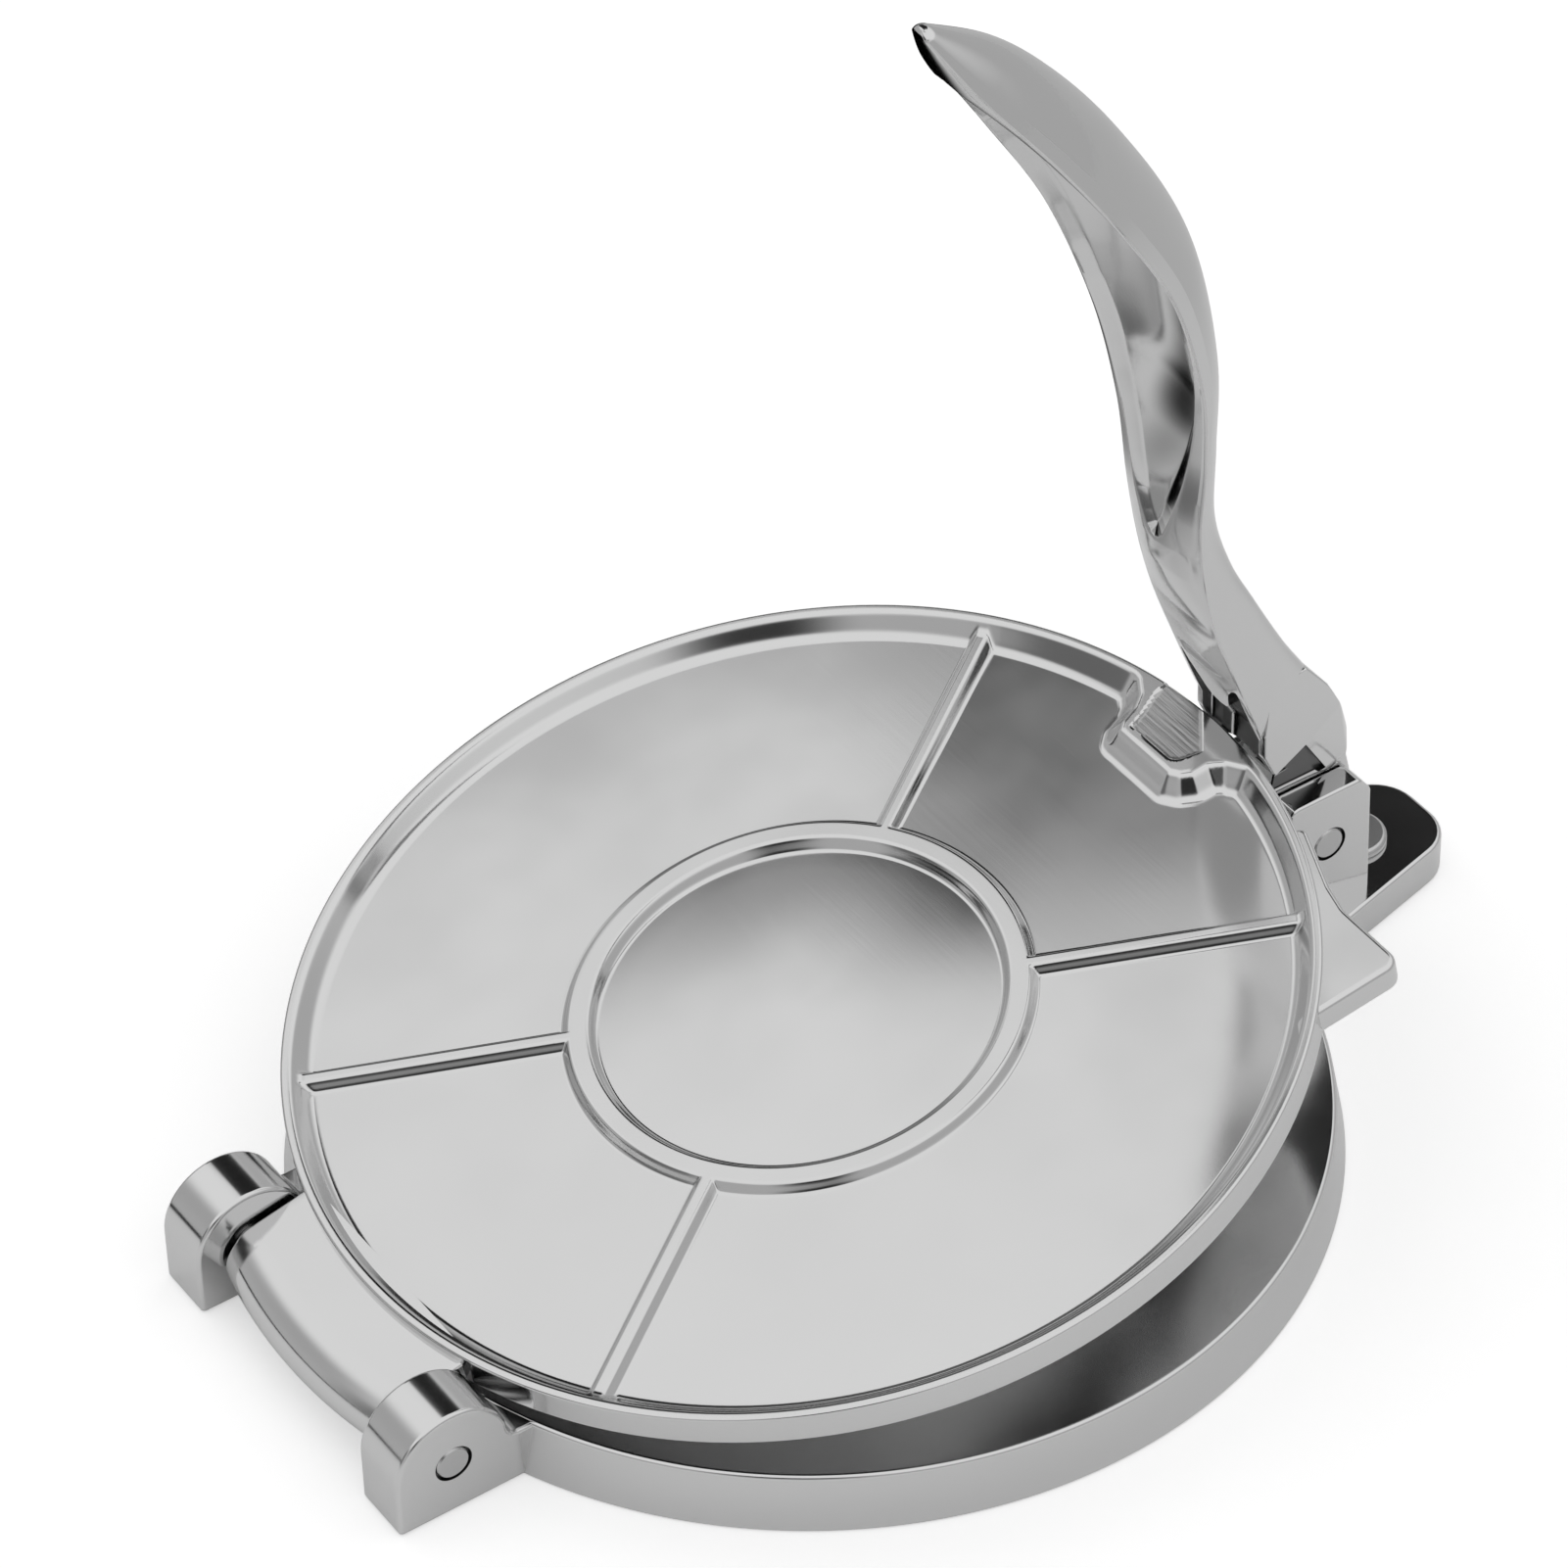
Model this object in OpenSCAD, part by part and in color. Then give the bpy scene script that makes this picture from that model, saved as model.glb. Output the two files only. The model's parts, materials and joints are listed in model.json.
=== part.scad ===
// Hand press for flat bread: two round cast plates hinged at the back, and a lever at the front
// whose nose bears on a pad on the upper plate.
// Frame: origin on the table under the centre of the plates, +X towards the lever, +Z up.
// Everything is drawn as it stands ajar: the upper plate a little open, the lever upright.

/* [Plates] */
// Radius of both plates at their top edge
plate_r = 100; // [85:0.5:115]
// Height of the lower plate's flat top above the table
base_top_z = 12.3; // [11:0.1:15]
// How much further out the lower plate's foot stands than its top edge
base_draft = 2.5; // [1:0.1:4]
// Thickness of the lower plate's web
base_web = 5; // [4:0.1:7]
// Thickness of the lower plate's skirt
skirt_wall = 4.5; // [3:0.1:6]
// Thickness of the upper plate at its rim
plate_h = 7.2; // [6.5:0.1:9]
// Depth of the panels below the rim
panel_depth = 4; // [3:0.1:4.5]
// Width of the rim's flat top
rim_w = 2; // [1.5:0.1:3]
// Width of the slope from the rim down to the panels
rim_slope = 3; // [2:0.1:4]
// Gap left between the two plates when they are shut
shut_gap = 0.3; // [0.2:0.1:1]

/* [Ring and ribs] */
// Inner radius of the raised ring
ring_in_r = 40.5; // [30:0.5:50]
// Width of the raised ring's top
ring_w = 4; // [3:0.5:6]
// Depth of the ring and the ribs below the rim
bead_drop = 1.9; // [1:0.1:2.5]
// Width of a rib's top
rib_w = 2.4; // [1.5:0.1:4]
// Width of the slope on each side of a ring or rib
bead_slope = 1.4; // [0.5:0.1:2]
// Angle between the front axis and each rib's line
rib_angle = 32; // [25:1:45]

/* [Pressure pad and tab] */
// Distance from the centre to the pad's inner edge
pad_x = 84; // [78:0.5:88]
// Width of the pad across its inner edge
pad_w = 19; // [14:0.5:26]
// Distance from the centre to the finger tab's front edge
tab_x = 88.5; // [82:0.5:92]
// Distance from the centre to the finger tab's side edge
tab_y = 73; // [70:0.5:78]

/* [Rear hinge] */
// Distance from the centre to the hinge axis
hinge_x = 108.5; // [107:0.5:112]
// Height of the hinge axis
hinge_z = 12.2; // [12:0.1:14]
// Diameter of the pins
pin_d = 7; // [5:0.5:8]
// Radial clearance of a pin in its holes
pin_play = 0.05; // [0.02:0.01:0.1]
// Distance from the middle to an ear's inner face
ear_in_y = 28.4; // [25:0.1:32]
// Thickness of a rear ear
ear_t = 12.9; // [10:0.1:15]
// Width of the hinge tongue
tongue_w = 55.6; // [48:0.1:62]
// Reach of the hinge tongue's rounded end from the centre
tongue_r = 119; // [116:0.5:119.5]
// Depth of the hinge tongue's top below the rim
tongue_drop = 2; // [1:0.1:3]
// Angle by which the upper plate stands open
opening = 11.2; // [0:0.1:13]

/* [Lever seat] */
// Distance from the centre to the lever's axis
lever_x = 115.3; // [114:0.1:118]
// Height of the lever's axis
lever_z = 25; // [24:0.1:28]
// Gap between the clevis ears
clevis_gap = 13; // [11:0.5:16]
// Thickness of a clevis ear
clevis_t = 6; // [4:0.5:8]
// Height of the clevis ears' top above the table
clevis_top_z = 38; // [36:0.5:41]
// Length of a clevis ear along the press
clevis_l = 20; // [18:0.5:22]
// Height of the front tongue's flat top
front_z = 9; // [7:0.5:11]
// Distance from the centre to the front tongue's end
front_x = 149.5; // [146:0.5:155]
// Diameter of the stop stud's head
stud_d = 14; // [10:0.5:16]
// Height of the stop stud's head
stud_h = 3; // [2:0.5:4]

/* [Lever] */
// Width of the knuckle between the clevis ears
knuckle_w = 12.4; // [10:0.1:12.6]
// Radius of the knuckle about the lever's axis
knuckle_r = 12.5; // [10:0.5:13.5]
// Width of the lever's neck
neck_w = 21; // [18:0.5:24]
// Thickness of the grip's shell
shell_t = 3.2; // [2.5:0.1:4]
// Width of the flat edge around the grip's hollow
lip_w = 2.5; // [2:0.1:3.5]

/* [Hidden] */
$fn = 96;
eps = 0.01;
metal = [0.80, 0.80, 0.81];
steel = [0.66, 0.66, 0.68];

plate_z = base_top_z + shut_gap;               // underside of the upper plate when shut
rim_z = plate_z + plate_h;
panel_z = rim_z - panel_depth;
bead_z = rim_z - bead_drop;
tongue_z = rim_z - tongue_drop;
pin_r = pin_d / 2;
bore_r = pin_r + pin_play;
ear_out_y = ear_in_y + ear_t;
ear_r = hinge_z;                                // an ear's round top meets its flat back on the table side
barrel_r = tongue_z - hinge_z;                  // the hinge tongue's barrel reaches up to its flat top
clevis_out_y = clevis_gap / 2 + clevis_t;
clevis_x0 = lever_x - clevis_l / 2 + 0.1;
clevis_x1 = clevis_x0 + clevis_l;
front_w0 = 48;                                  // front tongue's width where it leaves the plate
front_w1 = 21;                                  // and near its end
front_corner = 5;
spoke_t = 3;                                    // ribs under the lower plate
spoke_gap = 1.5;                                // how far they stay above the table
spoke_count = 6;
hub_r = 14;                                     // the hub under the plate's centre stands on the table
stud_x = 131.5;
stud_shank_d = 6;

// ---------------------------------------------------------------- helpers

// A cylinder along Y, centred on the XZ point
module y_cylinder(x, z, r, y0, y1) {
    translate([x, y1, z]) rotate([90, 0, 0]) cylinder(r = r, h = y1 - y0);
}

// An outline in the XZ plane, extruded from y0 to y1
module y_extrude(y0, y1) {
    translate([0, y1, 0]) rotate([90, 0, 0]) linear_extrude(height = y1 - y0) children();
}

// A copy of the children on each side of the middle plane
module both_sides() {
    children();
    mirror([0, 1, 0]) children();
}

// ---------------------------------------------------------------- lower plate

module base_disc() {
    foot_r = plate_r + base_draft;
    edge = 1;
    rotate_extrude($fn = 180) polygon([
        [0, base_top_z - base_web], [foot_r - skirt_wall, base_top_z - base_web],
        [foot_r - skirt_wall, 0], [foot_r, 0],
        [plate_r + 0.3, base_top_z - edge], [plate_r - edge, base_top_z], [0, base_top_z]]);
}

module underside_spokes() {
    bite = 1;                                   // how far the hub and spokes run into the web and the skirt
    h = base_top_z - base_web + bite;
    cylinder(r = hub_r, h = h);
    for (i = [0 : spoke_count - 1]) rotate(i * 360 / spoke_count)
        translate([hub_r - bite, -spoke_t / 2, spoke_gap])
            cube([plate_r - hub_r + bite, spoke_t, h - spoke_gap]);
}

module rear_ear() {
    back_x = -hinge_x - ear_r;
    reach_x = -sqrt(pow(plate_r - 4, 2) - pow(ear_in_y, 2));
    difference() {
        union() {
            intersection() {
                y_cylinder(-hinge_x, hinge_z, ear_r, ear_in_y, ear_out_y);
                translate([back_x - 1, ear_in_y - 1, hinge_z]) cube([2 * ear_r + 2, ear_t + 2, ear_r + 1]);
            }
            translate([back_x, ear_in_y, 0]) cube([reach_x - back_x, ear_t, hinge_z]);
        }
        y_cylinder(-hinge_x, hinge_z, bore_r, ear_in_y - 1, ear_out_y + 1);
    }
}

module front_tongue_outline(inset = 0) {
    w0 = front_w0 / 2 - inset;
    w1 = front_w1 / 2 - inset;
    c = front_corner;
    x0 = plate_r - 8;
    x1 = front_x - inset;
    polygon(concat(
        [[x0, -w0]],
        [for (a = [-72 : 18 : 0]) [x1 - c + c * cos(a), -w1 + c + c * sin(a)]],
        [for (a = [0 : 18 : 72]) [x1 - c + c * cos(a), w1 - c + c * sin(a)]],
        [[x0, w0]]));
}

module front_tongue() {
    top_t = 4.5;
    wall = 3.5;
    difference() {
        linear_extrude(height = front_z) front_tongue_outline();
        difference() {
            translate([0, 0, -1]) linear_extrude(height = front_z - top_t + 1) front_tongue_outline(wall);
            translate([stud_x, 0, 0]) cylinder(d = stud_shank_d + 6, h = front_z);
            translate([lever_x - spoke_t / 2, -front_w0 / 2, 0]) cube([spoke_t, front_w0, front_z]);
        }
    }
}

module clevis_ear() {
    chamfer = 3.5;
    difference() {
        y_extrude(clevis_gap / 2, clevis_out_y) polygon([
            [clevis_x0, front_z - 1], [clevis_x1 + 0.6, front_z - 1], [clevis_x1, clevis_top_z - chamfer - 1],
            [clevis_x1 - chamfer, clevis_top_z], [clevis_x0 + 1.5, clevis_top_z],
            [clevis_x0, clevis_top_z - 1.5]]);
        y_cylinder(lever_x, lever_z, bore_r, 0, clevis_out_y + 1);
    }
}

module base_plate() {
    color(metal) difference() {
        union() {
            base_disc();
            underside_spokes();
            both_sides() rear_ear();
            difference() {
                front_tongue();
                translate([0, 0, -1]) cylinder(r = plate_r + base_draft - skirt_wall + 1, h = 40, $fn = 180);
            }
            both_sides() clevis_ear();
        }
        translate([stud_x, 0, -1]) cylinder(d = stud_shank_d, h = front_z + 2);
    }
}

// ---------------------------------------------------------------- upper plate, drawn shut

module plate_disc() {
    edge = 0.8;
    ring_out = ring_in_r + ring_w;
    rotate_extrude($fn = 180) polygon([
        [0, plate_z], [plate_r - edge, plate_z], [plate_r + 0.3, plate_z + edge],
        [plate_r, rim_z - edge], [plate_r - edge / 2, rim_z], [plate_r - rim_w, rim_z],
        [plate_r - rim_w - rim_slope, panel_z],
        [ring_out + bead_slope, panel_z], [ring_out, bead_z],
        [ring_in_r, bead_z], [ring_in_r - bead_slope, panel_z], [0, panel_z]]);
}

module rib() {
    r0 = ring_in_r + ring_w / 2;
    r1 = plate_r - rim_w - rim_slope / 2;
    h = bead_z - panel_z;
    translate([r0, 0, panel_z]) rotate([90, 0, 90]) linear_extrude(height = r1 - r0) polygon([
        [-rib_w / 2 - bead_slope, -eps], [rib_w / 2 + bead_slope, -eps],
        [rib_w / 2, h], [-rib_w / 2, h]]);
}

module pressure_pad() {
    half = pad_w / 2;
    shoulder_x = pad_x + 8;
    slope = 1.6;
    intersection() {
        union() {
            translate([0, 0, panel_z - eps]) linear_extrude(height = (rim_z - panel_z) / 2 + eps)
                polygon([[pad_x - slope, -half], [pad_x - slope, half],
                    [pad_x, half + slope], [shoulder_x, half + slope + 1.5], [plate_r - 3.5, half + 11],
                    [plate_r - 3.5, -half - 11], [shoulder_x, -half - slope - 1.5], [pad_x, -half - slope]]);
            translate([0, 0, panel_z - eps]) linear_extrude(height = rim_z - panel_z + eps)
                polygon([[pad_x, -half], [pad_x, half],
                    [shoulder_x, half + 1.5], [plate_r - 3, half + 10],
                    [plate_r - 3, -half - 10], [shoulder_x, -half - 1.5]]);
        }
        cylinder(r = plate_r - 0.5, h = rim_z);
    }
}

module finger_tab() {
    corner = 3;
    h = plate_h - 0.7;
    root = tab_y - 13;                          // the tab's outline closes inside the plate
    difference() {
        translate([0, 0, plate_z]) linear_extrude(height = h) polygon(concat(
            [[root, -root], [root, -tab_y]],
            [for (a = [-90 : 15 : 0]) [tab_x - corner + corner * cos(a), -tab_y + corner + corner * sin(a)]],
            [[tab_x, 4 - root], [tab_x + 1.4, 11 - root], [tab_x + 3, 18 - root]]));
        cylinder(r = plate_r - 4, h = 40, $fn = 180);
    }
}

module hinge_tongue() {
    roll = 6;
    inner_r = plate_r - 4;
    nose_z = tongue_z - roll;
    intersection() {
        rotate_extrude($fn = 180) polygon(concat(
            [[inner_r, plate_z], [inner_r, tongue_z]],
            [for (a = [90 : -15 : 0]) [tongue_r - roll + roll * cos(a), nose_z + roll * sin(a)]],
            [[tongue_r - 2.5, nose_z - 3], [hinge_x + 0.5, plate_z - 2.5], [hinge_x - 4, plate_z]]));
        translate([-tongue_r - 1, -tongue_w / 2, 0]) cube([tongue_r, tongue_w, 40]);
    }
    y_cylinder(-hinge_x, hinge_z, barrel_r, -tongue_w / 2, tongue_w / 2);
}

module upper_plate_shut() {
    difference() {
        union() {
            plate_disc();
            for (a = [rib_angle, -rib_angle, 180 - rib_angle, 180 + rib_angle]) rotate(a) rib();
            pressure_pad();
            finger_tab();
            hinge_tongue();
        }
        y_cylinder(-hinge_x, hinge_z, bore_r, -tongue_w, tongue_w);
    }
}

module upper_plate() {
    color(metal) translate([-hinge_x, 0, hinge_z]) rotate([0, -opening, 0])
        translate([hinge_x, 0, -hinge_z]) upper_plate_shut();
}

// ---------------------------------------------------------------- lever

// Stations from the cheeks up to the tip: front edge x and z, full width, depth behind the front edge,
// how square the back is (0 round, 1 square), and how much of the hollow is there (0 none, 1 full)
stations = [
    [100.6, 55, 18, 15, 1.0, 0],
    [ 98.0, 61, 21, 16, 1.0, 0],
    [ 92.5, 75, 21, 13.4, 1.0, 0],
    [ 86.7, 91, 21, 11, 1.0, 0],
    [ 83.2, 105, 21.5, 8.3, 0.9, 0],
    [ 81.2, 120, 23.5, 7, 0.6, 0.1],
    [ 80.2, 138, 28, 8, 0.3, 0.7],
    [ 76.5, 159, 34, 11, 0.1, 1],
    [ 67.5, 184, 39.5, 14, 0, 1],
    [ 54.5, 206, 41, 14.5, 0, 1],
    [ 43.0, 223, 34, 13, 0, 1],
    [ 33.0, 236.5, 20, 9.5, 0, 0.6],
    [ 25.5, 249, 4, 2.2, 0, 0]];
last_station = len(stations) - 1;
ring_steps = 3;                                 // rings between two stations
back_points = 13;                               // points across the back of a ring
hollow_points = 9;                              // points across its hollow

// Catmull-Rom value at parameter u of the stations
function station_at(i) = stations[max(0, min(last_station, i))];
function spline(u) =
    let (i = min(floor(u), last_station - 1), t = u - i,
         a = station_at(i - 1), b = station_at(i), c = station_at(i + 1), d = station_at(i + 2))
    b + 0.5 * t * ((c - a) + t * ((2 * a - 5 * b + 4 * c - d) + t * (3 * (b - c) + d - a)));

// Unit vector across the lever, from its front to its back, at parameter u
function across(u) =
    let (s0 = spline(max(0, u - 0.05)), s1 = spline(min(last_station, u + 0.05)),
         d = [s1[0] - s0[0], s1[1] - s0[1]], l = norm(d))
    [d[1] / l, -d[0] / l];

function signed_pow(v, e) = sign(v) * pow(abs(v), e);

// Closed ring of points at parameter u: the back from left to right, then the hollow from right to left
function ring(u) =
    let (s = spline(u), n = across(u), half = s[2] / 2, depth = s[3],
         e = 1 - 0.75 * max(0, min(1, s[4])), full = max(0, min(1, s[5])),
         hollow_half = max(half - lip_w, half * 0.55), hollow = max(0, (depth - shell_t) * full))
    concat(
        [for (k = [0 : back_points - 1])
            let (a = 180 * k / (back_points - 1), q = depth * signed_pow(sin(a), e))
            [s[0] + n[0] * q, half * signed_pow(cos(a), e), s[1] + n[1] * q]],
        [for (k = [0 : hollow_points - 1])
            let (a = 180 * k / (hollow_points - 1), q = hollow * sin(a))
            [s[0] + n[0] * q, -hollow_half * cos(a), s[1] + n[1] * q]]);

module grip_and_neck() {
    ring_n = back_points + hollow_points;
    ring_count = last_station * ring_steps + 1;
    rings = [for (j = [0 : ring_count - 1]) ring(j / ring_steps)];
    function middle(r) = [for (c = [0 : 2]) (r[0][c] + r[back_points - 1][c]) / 4 + r[floor(back_points / 2)][c] / 2];
    points = concat([for (r = rings) each r], [middle(rings[0]), middle(rings[ring_count - 1])]);
    foot_i = ring_count * ring_n;
    function at(j, k) = j * ring_n + k % ring_n;
    sides = [for (j = [0 : ring_count - 2], k = [0 : ring_n - 1], h = [0, 1])
        h == 0 ? [at(j, k), at(j, k + 1), at(j + 1, k + 1)] : [at(j, k), at(j + 1, k + 1), at(j + 1, k)]];
    foot = [for (k = [0 : ring_n - 1]) [foot_i, at(0, k + 1), at(0, k)]];
    tip = [for (k = [0 : ring_n - 1]) [foot_i + 1, at(ring_count - 1, k), at(ring_count - 1, k + 1)]];
    polyhedron(points, concat(sides, foot, tip), convexity = 6);
}

// The neck's wide end narrows in flat facets to the slab between the ears
module shoulder() {
    cheek = neck_w / 2;
    slab = knuckle_w / 2;
    hull() {
        y_extrude(-cheek, cheek) polygon([
            [101.6, 50.6], [98.2, 61], [96.6, 65], [110.5, 71], [114.5, 65.5], [117.4, 59], [109.5, 53.2]]);
        y_extrude(-slab, slab) polygon([
            [lever_x - 10.2, lever_z + 17], [lever_x + 7.2, lever_z + 13], [lever_x + 7.3, lever_z + 19],
            [lever_x + 5.8, lever_z + 26], [lever_x + 3.5, lever_z + 32]]);
    }
}

module knuckle() {
    y_cylinder(lever_x, lever_z, knuckle_r, -knuckle_w / 2, knuckle_w / 2);
    y_extrude(-knuckle_w / 2, knuckle_w / 2) polygon([
        [lever_x - 11.6, lever_z + 4.5], [lever_x - 11, lever_z + 12], [lever_x - 9.8, lever_z + 18],
        [lever_x + 4, lever_z + 20], [lever_x + 7.2, lever_z + 15], [lever_x + 10, lever_z + 7]]);
}

// Hollow under the nose, between the cheeks
module nose_recess() {
    half = neck_w / 2 - 2.8;
    y_extrude(-half, half) polygon([
        [90, 42], [lever_x - 10.3, 42], [lever_x - 10.3, 52], [101.5, 58.5], [98.6, 59.6], [90, 59.6]]);
}

module lever() {
    color(metal) difference() {
        union() {
            grip_and_neck();
            shoulder();
            knuckle();
        }
        nose_recess();
        y_cylinder(lever_x, lever_z, bore_r, -knuckle_w, knuckle_w);
    }
}

// ---------------------------------------------------------------- pins and stud

module hinge_pin() {
    inner_y = 12;
    y_cylinder(-hinge_x, hinge_z, pin_r, inner_y, ear_out_y);
}

module hinge_pin_left() {
    color(steel) hinge_pin();
}

module hinge_pin_right() {
    color(steel) mirror([0, 1, 0]) hinge_pin();
}

module lever_pin() {
    color(steel) y_cylinder(lever_x, lever_z, pin_r, -clevis_out_y, clevis_out_y);
}

module stop_stud() {
    edge = 0.8;
    color(steel) translate([stud_x, 0, 0]) rotate_extrude() polygon([
        [0, 1], [stud_shank_d / 2, 1], [stud_shank_d / 2, front_z], [stud_d / 2, front_z],
        [stud_d / 2, front_z + stud_h - edge], [stud_d / 2 - edge, front_z + stud_h], [0, front_z + stud_h]]);
}

base_plate();
upper_plate();
lever();
hinge_pin_right();
hinge_pin_left();
lever_pin();
stop_stud();
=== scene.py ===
"""Hand press for flat bread: polished aluminium castings on steel pins.

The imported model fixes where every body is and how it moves. The classes below build the visible skin
of each casting, pin and stud in the same frame, dress it, and set the studio round it.
Lengths inside the pieces' classes are millimetres; a mesh is turned to metres when it is made.
"""
import json
import logging
import math
from dataclasses import dataclass, field
from enum import Enum
from typing import Any, Sequence

import bmesh
import bpy
import numpy as np
from mathutils import Matrix, Vector
from mathutils.bvhtree import BVHTree


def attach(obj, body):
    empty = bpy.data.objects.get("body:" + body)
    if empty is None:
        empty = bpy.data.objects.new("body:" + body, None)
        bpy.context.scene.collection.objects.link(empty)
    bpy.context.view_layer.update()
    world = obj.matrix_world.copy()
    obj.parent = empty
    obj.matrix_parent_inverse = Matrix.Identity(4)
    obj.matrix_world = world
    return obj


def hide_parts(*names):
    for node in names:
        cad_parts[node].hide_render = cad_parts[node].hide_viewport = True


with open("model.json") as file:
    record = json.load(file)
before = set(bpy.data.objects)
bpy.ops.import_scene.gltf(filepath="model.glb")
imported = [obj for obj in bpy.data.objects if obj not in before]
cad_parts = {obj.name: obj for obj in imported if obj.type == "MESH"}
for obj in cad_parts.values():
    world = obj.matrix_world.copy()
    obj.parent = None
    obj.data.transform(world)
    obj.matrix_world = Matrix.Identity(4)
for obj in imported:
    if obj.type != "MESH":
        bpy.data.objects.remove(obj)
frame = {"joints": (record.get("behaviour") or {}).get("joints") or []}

MM = 0.001
NOISE_SPAN = (0.3, 0.7)     # the levels that a noise pattern mostly stays between
LOG = logging.getLogger("press")


class Solve(Enum):
    """How two closed meshes are put together."""

    UNION = "UNION"
    CUT = "DIFFERENCE"


class Plane(Enum):
    """The plane that an outline is drawn in; it is extruded along the third axis."""

    XY = (0, 1, 2)
    XZ = (0, 2, 1)
    YZ = (1, 2, 0)


# ---------------------------------------------------------------- small helpers


def hex_linear(code: str) -> tuple[float, float, float, float]:
    """Turns an sRGB hex colour into linear RGBA.

    Args:
        code: The colour, such as "#D8D9DA".

    Returns:
        Red, green, blue and alpha, linear.
    """
    channels = [int(code[i:i + 2], 16) / 255 for i in (1, 3, 5)]
    linear = [c / 12.92 if c <= 0.04045 else ((c + 0.055) / 1.055) ** 2.4 for c in channels]
    return linear[0], linear[1], linear[2], 1.0


def add_node(tree: bpy.types.NodeTree, kind: str, inputs: dict[Any, Any] | None = None,
             **settings: Any) -> bpy.types.Node:
    """Adds a node with its settings, values and links.

    Args:
        tree: The node tree.
        kind: The node's type.
        inputs: Value or output socket for each input, by name or number.
        **settings: The node's own properties.

    Returns:
        The new node.
    """
    node = tree.nodes.new(kind)
    for name, value in settings.items():
        setattr(node, name, value)
    for key, value in (inputs or {}).items():
        if isinstance(value, bpy.types.NodeSocket):
            tree.links.new(value, node.inputs[key])
        else:
            node.inputs[key].default_value = value
    return node


def add_math(tree: bpy.types.NodeTree, operation: str, *values: Any) -> bpy.types.NodeSocket:
    """Adds a sum on one or two values or sockets, and returns its result."""
    return add_node(tree, "ShaderNodeMath", dict(enumerate(values)), operation=operation).outputs[0]


def add_dot(tree: bpy.types.NodeTree, vector: bpy.types.NodeSocket,
            way: Sequence[float]) -> bpy.types.NodeSocket:
    """Adds a vector's reach in one direction, and returns it."""
    node = add_node(tree, "ShaderNodeVectorMath", {0: vector, 1: way}, operation="DOT_PRODUCT")
    return node.outputs["Value"]


def add_ramp(tree: bpy.types.NodeTree, value: bpy.types.NodeSocket, span: tuple[float, float],
             to: tuple[float, float]) -> bpy.types.NodeSocket:
    """Adds a smooth step from one level to another over a span of a value.

    Args:
        tree: The node tree.
        value: What is mapped.
        span: Where the step starts and ends.
        to: The levels before and after it.

    Returns:
        The level.
    """
    return add_node(tree, "ShaderNodeMapRange", {
        "Value": value, "From Min": span[0], "From Max": span[1], "To Min": to[0], "To Max": to[1]},
        interpolation_type="SMOOTHSTEP").outputs["Result"]


def mesh_object(name: str, points: np.ndarray, faces: Sequence[Sequence[int]]) -> bpy.types.Object:
    """Makes an object from points in millimetres.

    Args:
        name: The object's name.
        points: An array of points.
        faces: Point numbers of each face.

    Returns:
        The object, in the scene.
    """
    mesh = bpy.data.meshes.new(name)
    mesh.from_pydata((np.asarray(points) * MM).tolist(), [], faces)
    obj = bpy.data.objects.new(name, mesh)
    bpy.context.collection.objects.link(obj)
    work = bmesh.new()
    work.from_mesh(mesh)
    bmesh.ops.recalc_face_normals(work, faces=work.faces)
    work.to_mesh(mesh)
    work.free()
    return obj


def loft(name: str, rings: np.ndarray, fans: bool = True) -> bpy.types.Object:
    """Skins a stack of closed rings and closes both ends.

    Args:
        name: The object's name.
        rings: Points, as (ring, point on the ring, xyz).
        fans: Whether the ends close by a fan to their middle, or else by one flat face.

    Returns:
        The closed mesh object.
    """
    count, size, _ = rings.shape
    points = np.vstack([rings.reshape(-1, 3), rings[0].mean(axis=0), rings[-1].mean(axis=0)])
    last = (count - 1) * size
    faces: list[list[int]] = []
    for start in range(0, last, size):
        faces += [[start + k, start + (k + 1) % size, start + size + (k + 1) % size, start + size + k]
                  for k in range(size)]
    if fans:
        faces += [[(k + 1) % size, k, count * size] for k in range(size)]
        faces += [[last + k, last + (k + 1) % size, count * size + 1] for k in range(size)]
    else:
        points = points[:-2]
        faces += [list(range(size - 1, -1, -1)), list(range(last, last + size))]
    return mesh_object(name, points, faces)


def rounded(corners: Sequence[tuple[float, float, float]], steps: int = 5,
            closed: bool = True) -> np.ndarray:
    """Draws an outline whose corners are arcs.

    Args:
        corners: Each corner's two coordinates and its radius.
        steps: Straight pieces in each arc.
        closed: Whether the last corner joins the first.

    Returns:
        The outline's points.
    """
    out: list[np.ndarray] = []
    count = len(corners)
    for i, (x, y, radius) in enumerate(corners):
        here = np.array([x, y])
        if radius <= 0 or (not closed and i in (0, count - 1)):
            out.append(here)
            continue
        to_last = np.array(corners[i - 1][:2]) - here
        to_next = np.array(corners[(i + 1) % count][:2]) - here
        room = 0.49 * min(np.linalg.norm(to_last), np.linalg.norm(to_next))
        to_last, to_next = to_last / np.linalg.norm(to_last), to_next / np.linalg.norm(to_next)
        half = math.acos(float(np.clip(to_last @ to_next, -1, 1))) / 2
        reach = min(radius / math.tan(half), room)
        middle = to_last + to_next
        centre = here + middle / np.linalg.norm(middle) * reach / math.cos(half)
        start, end = here + to_last * reach - centre, here + to_next * reach - centre
        turn = math.copysign(math.pi - 2 * half, start[0] * end[1] - start[1] * end[0])
        for k in range(steps + 1):
            c, s = math.cos(turn * k / steps), math.sin(turn * k / steps)
            out.append(centre + np.array([c * start[0] - s * start[1], s * start[0] + c * start[1]]))
    return np.array(out)


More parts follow.
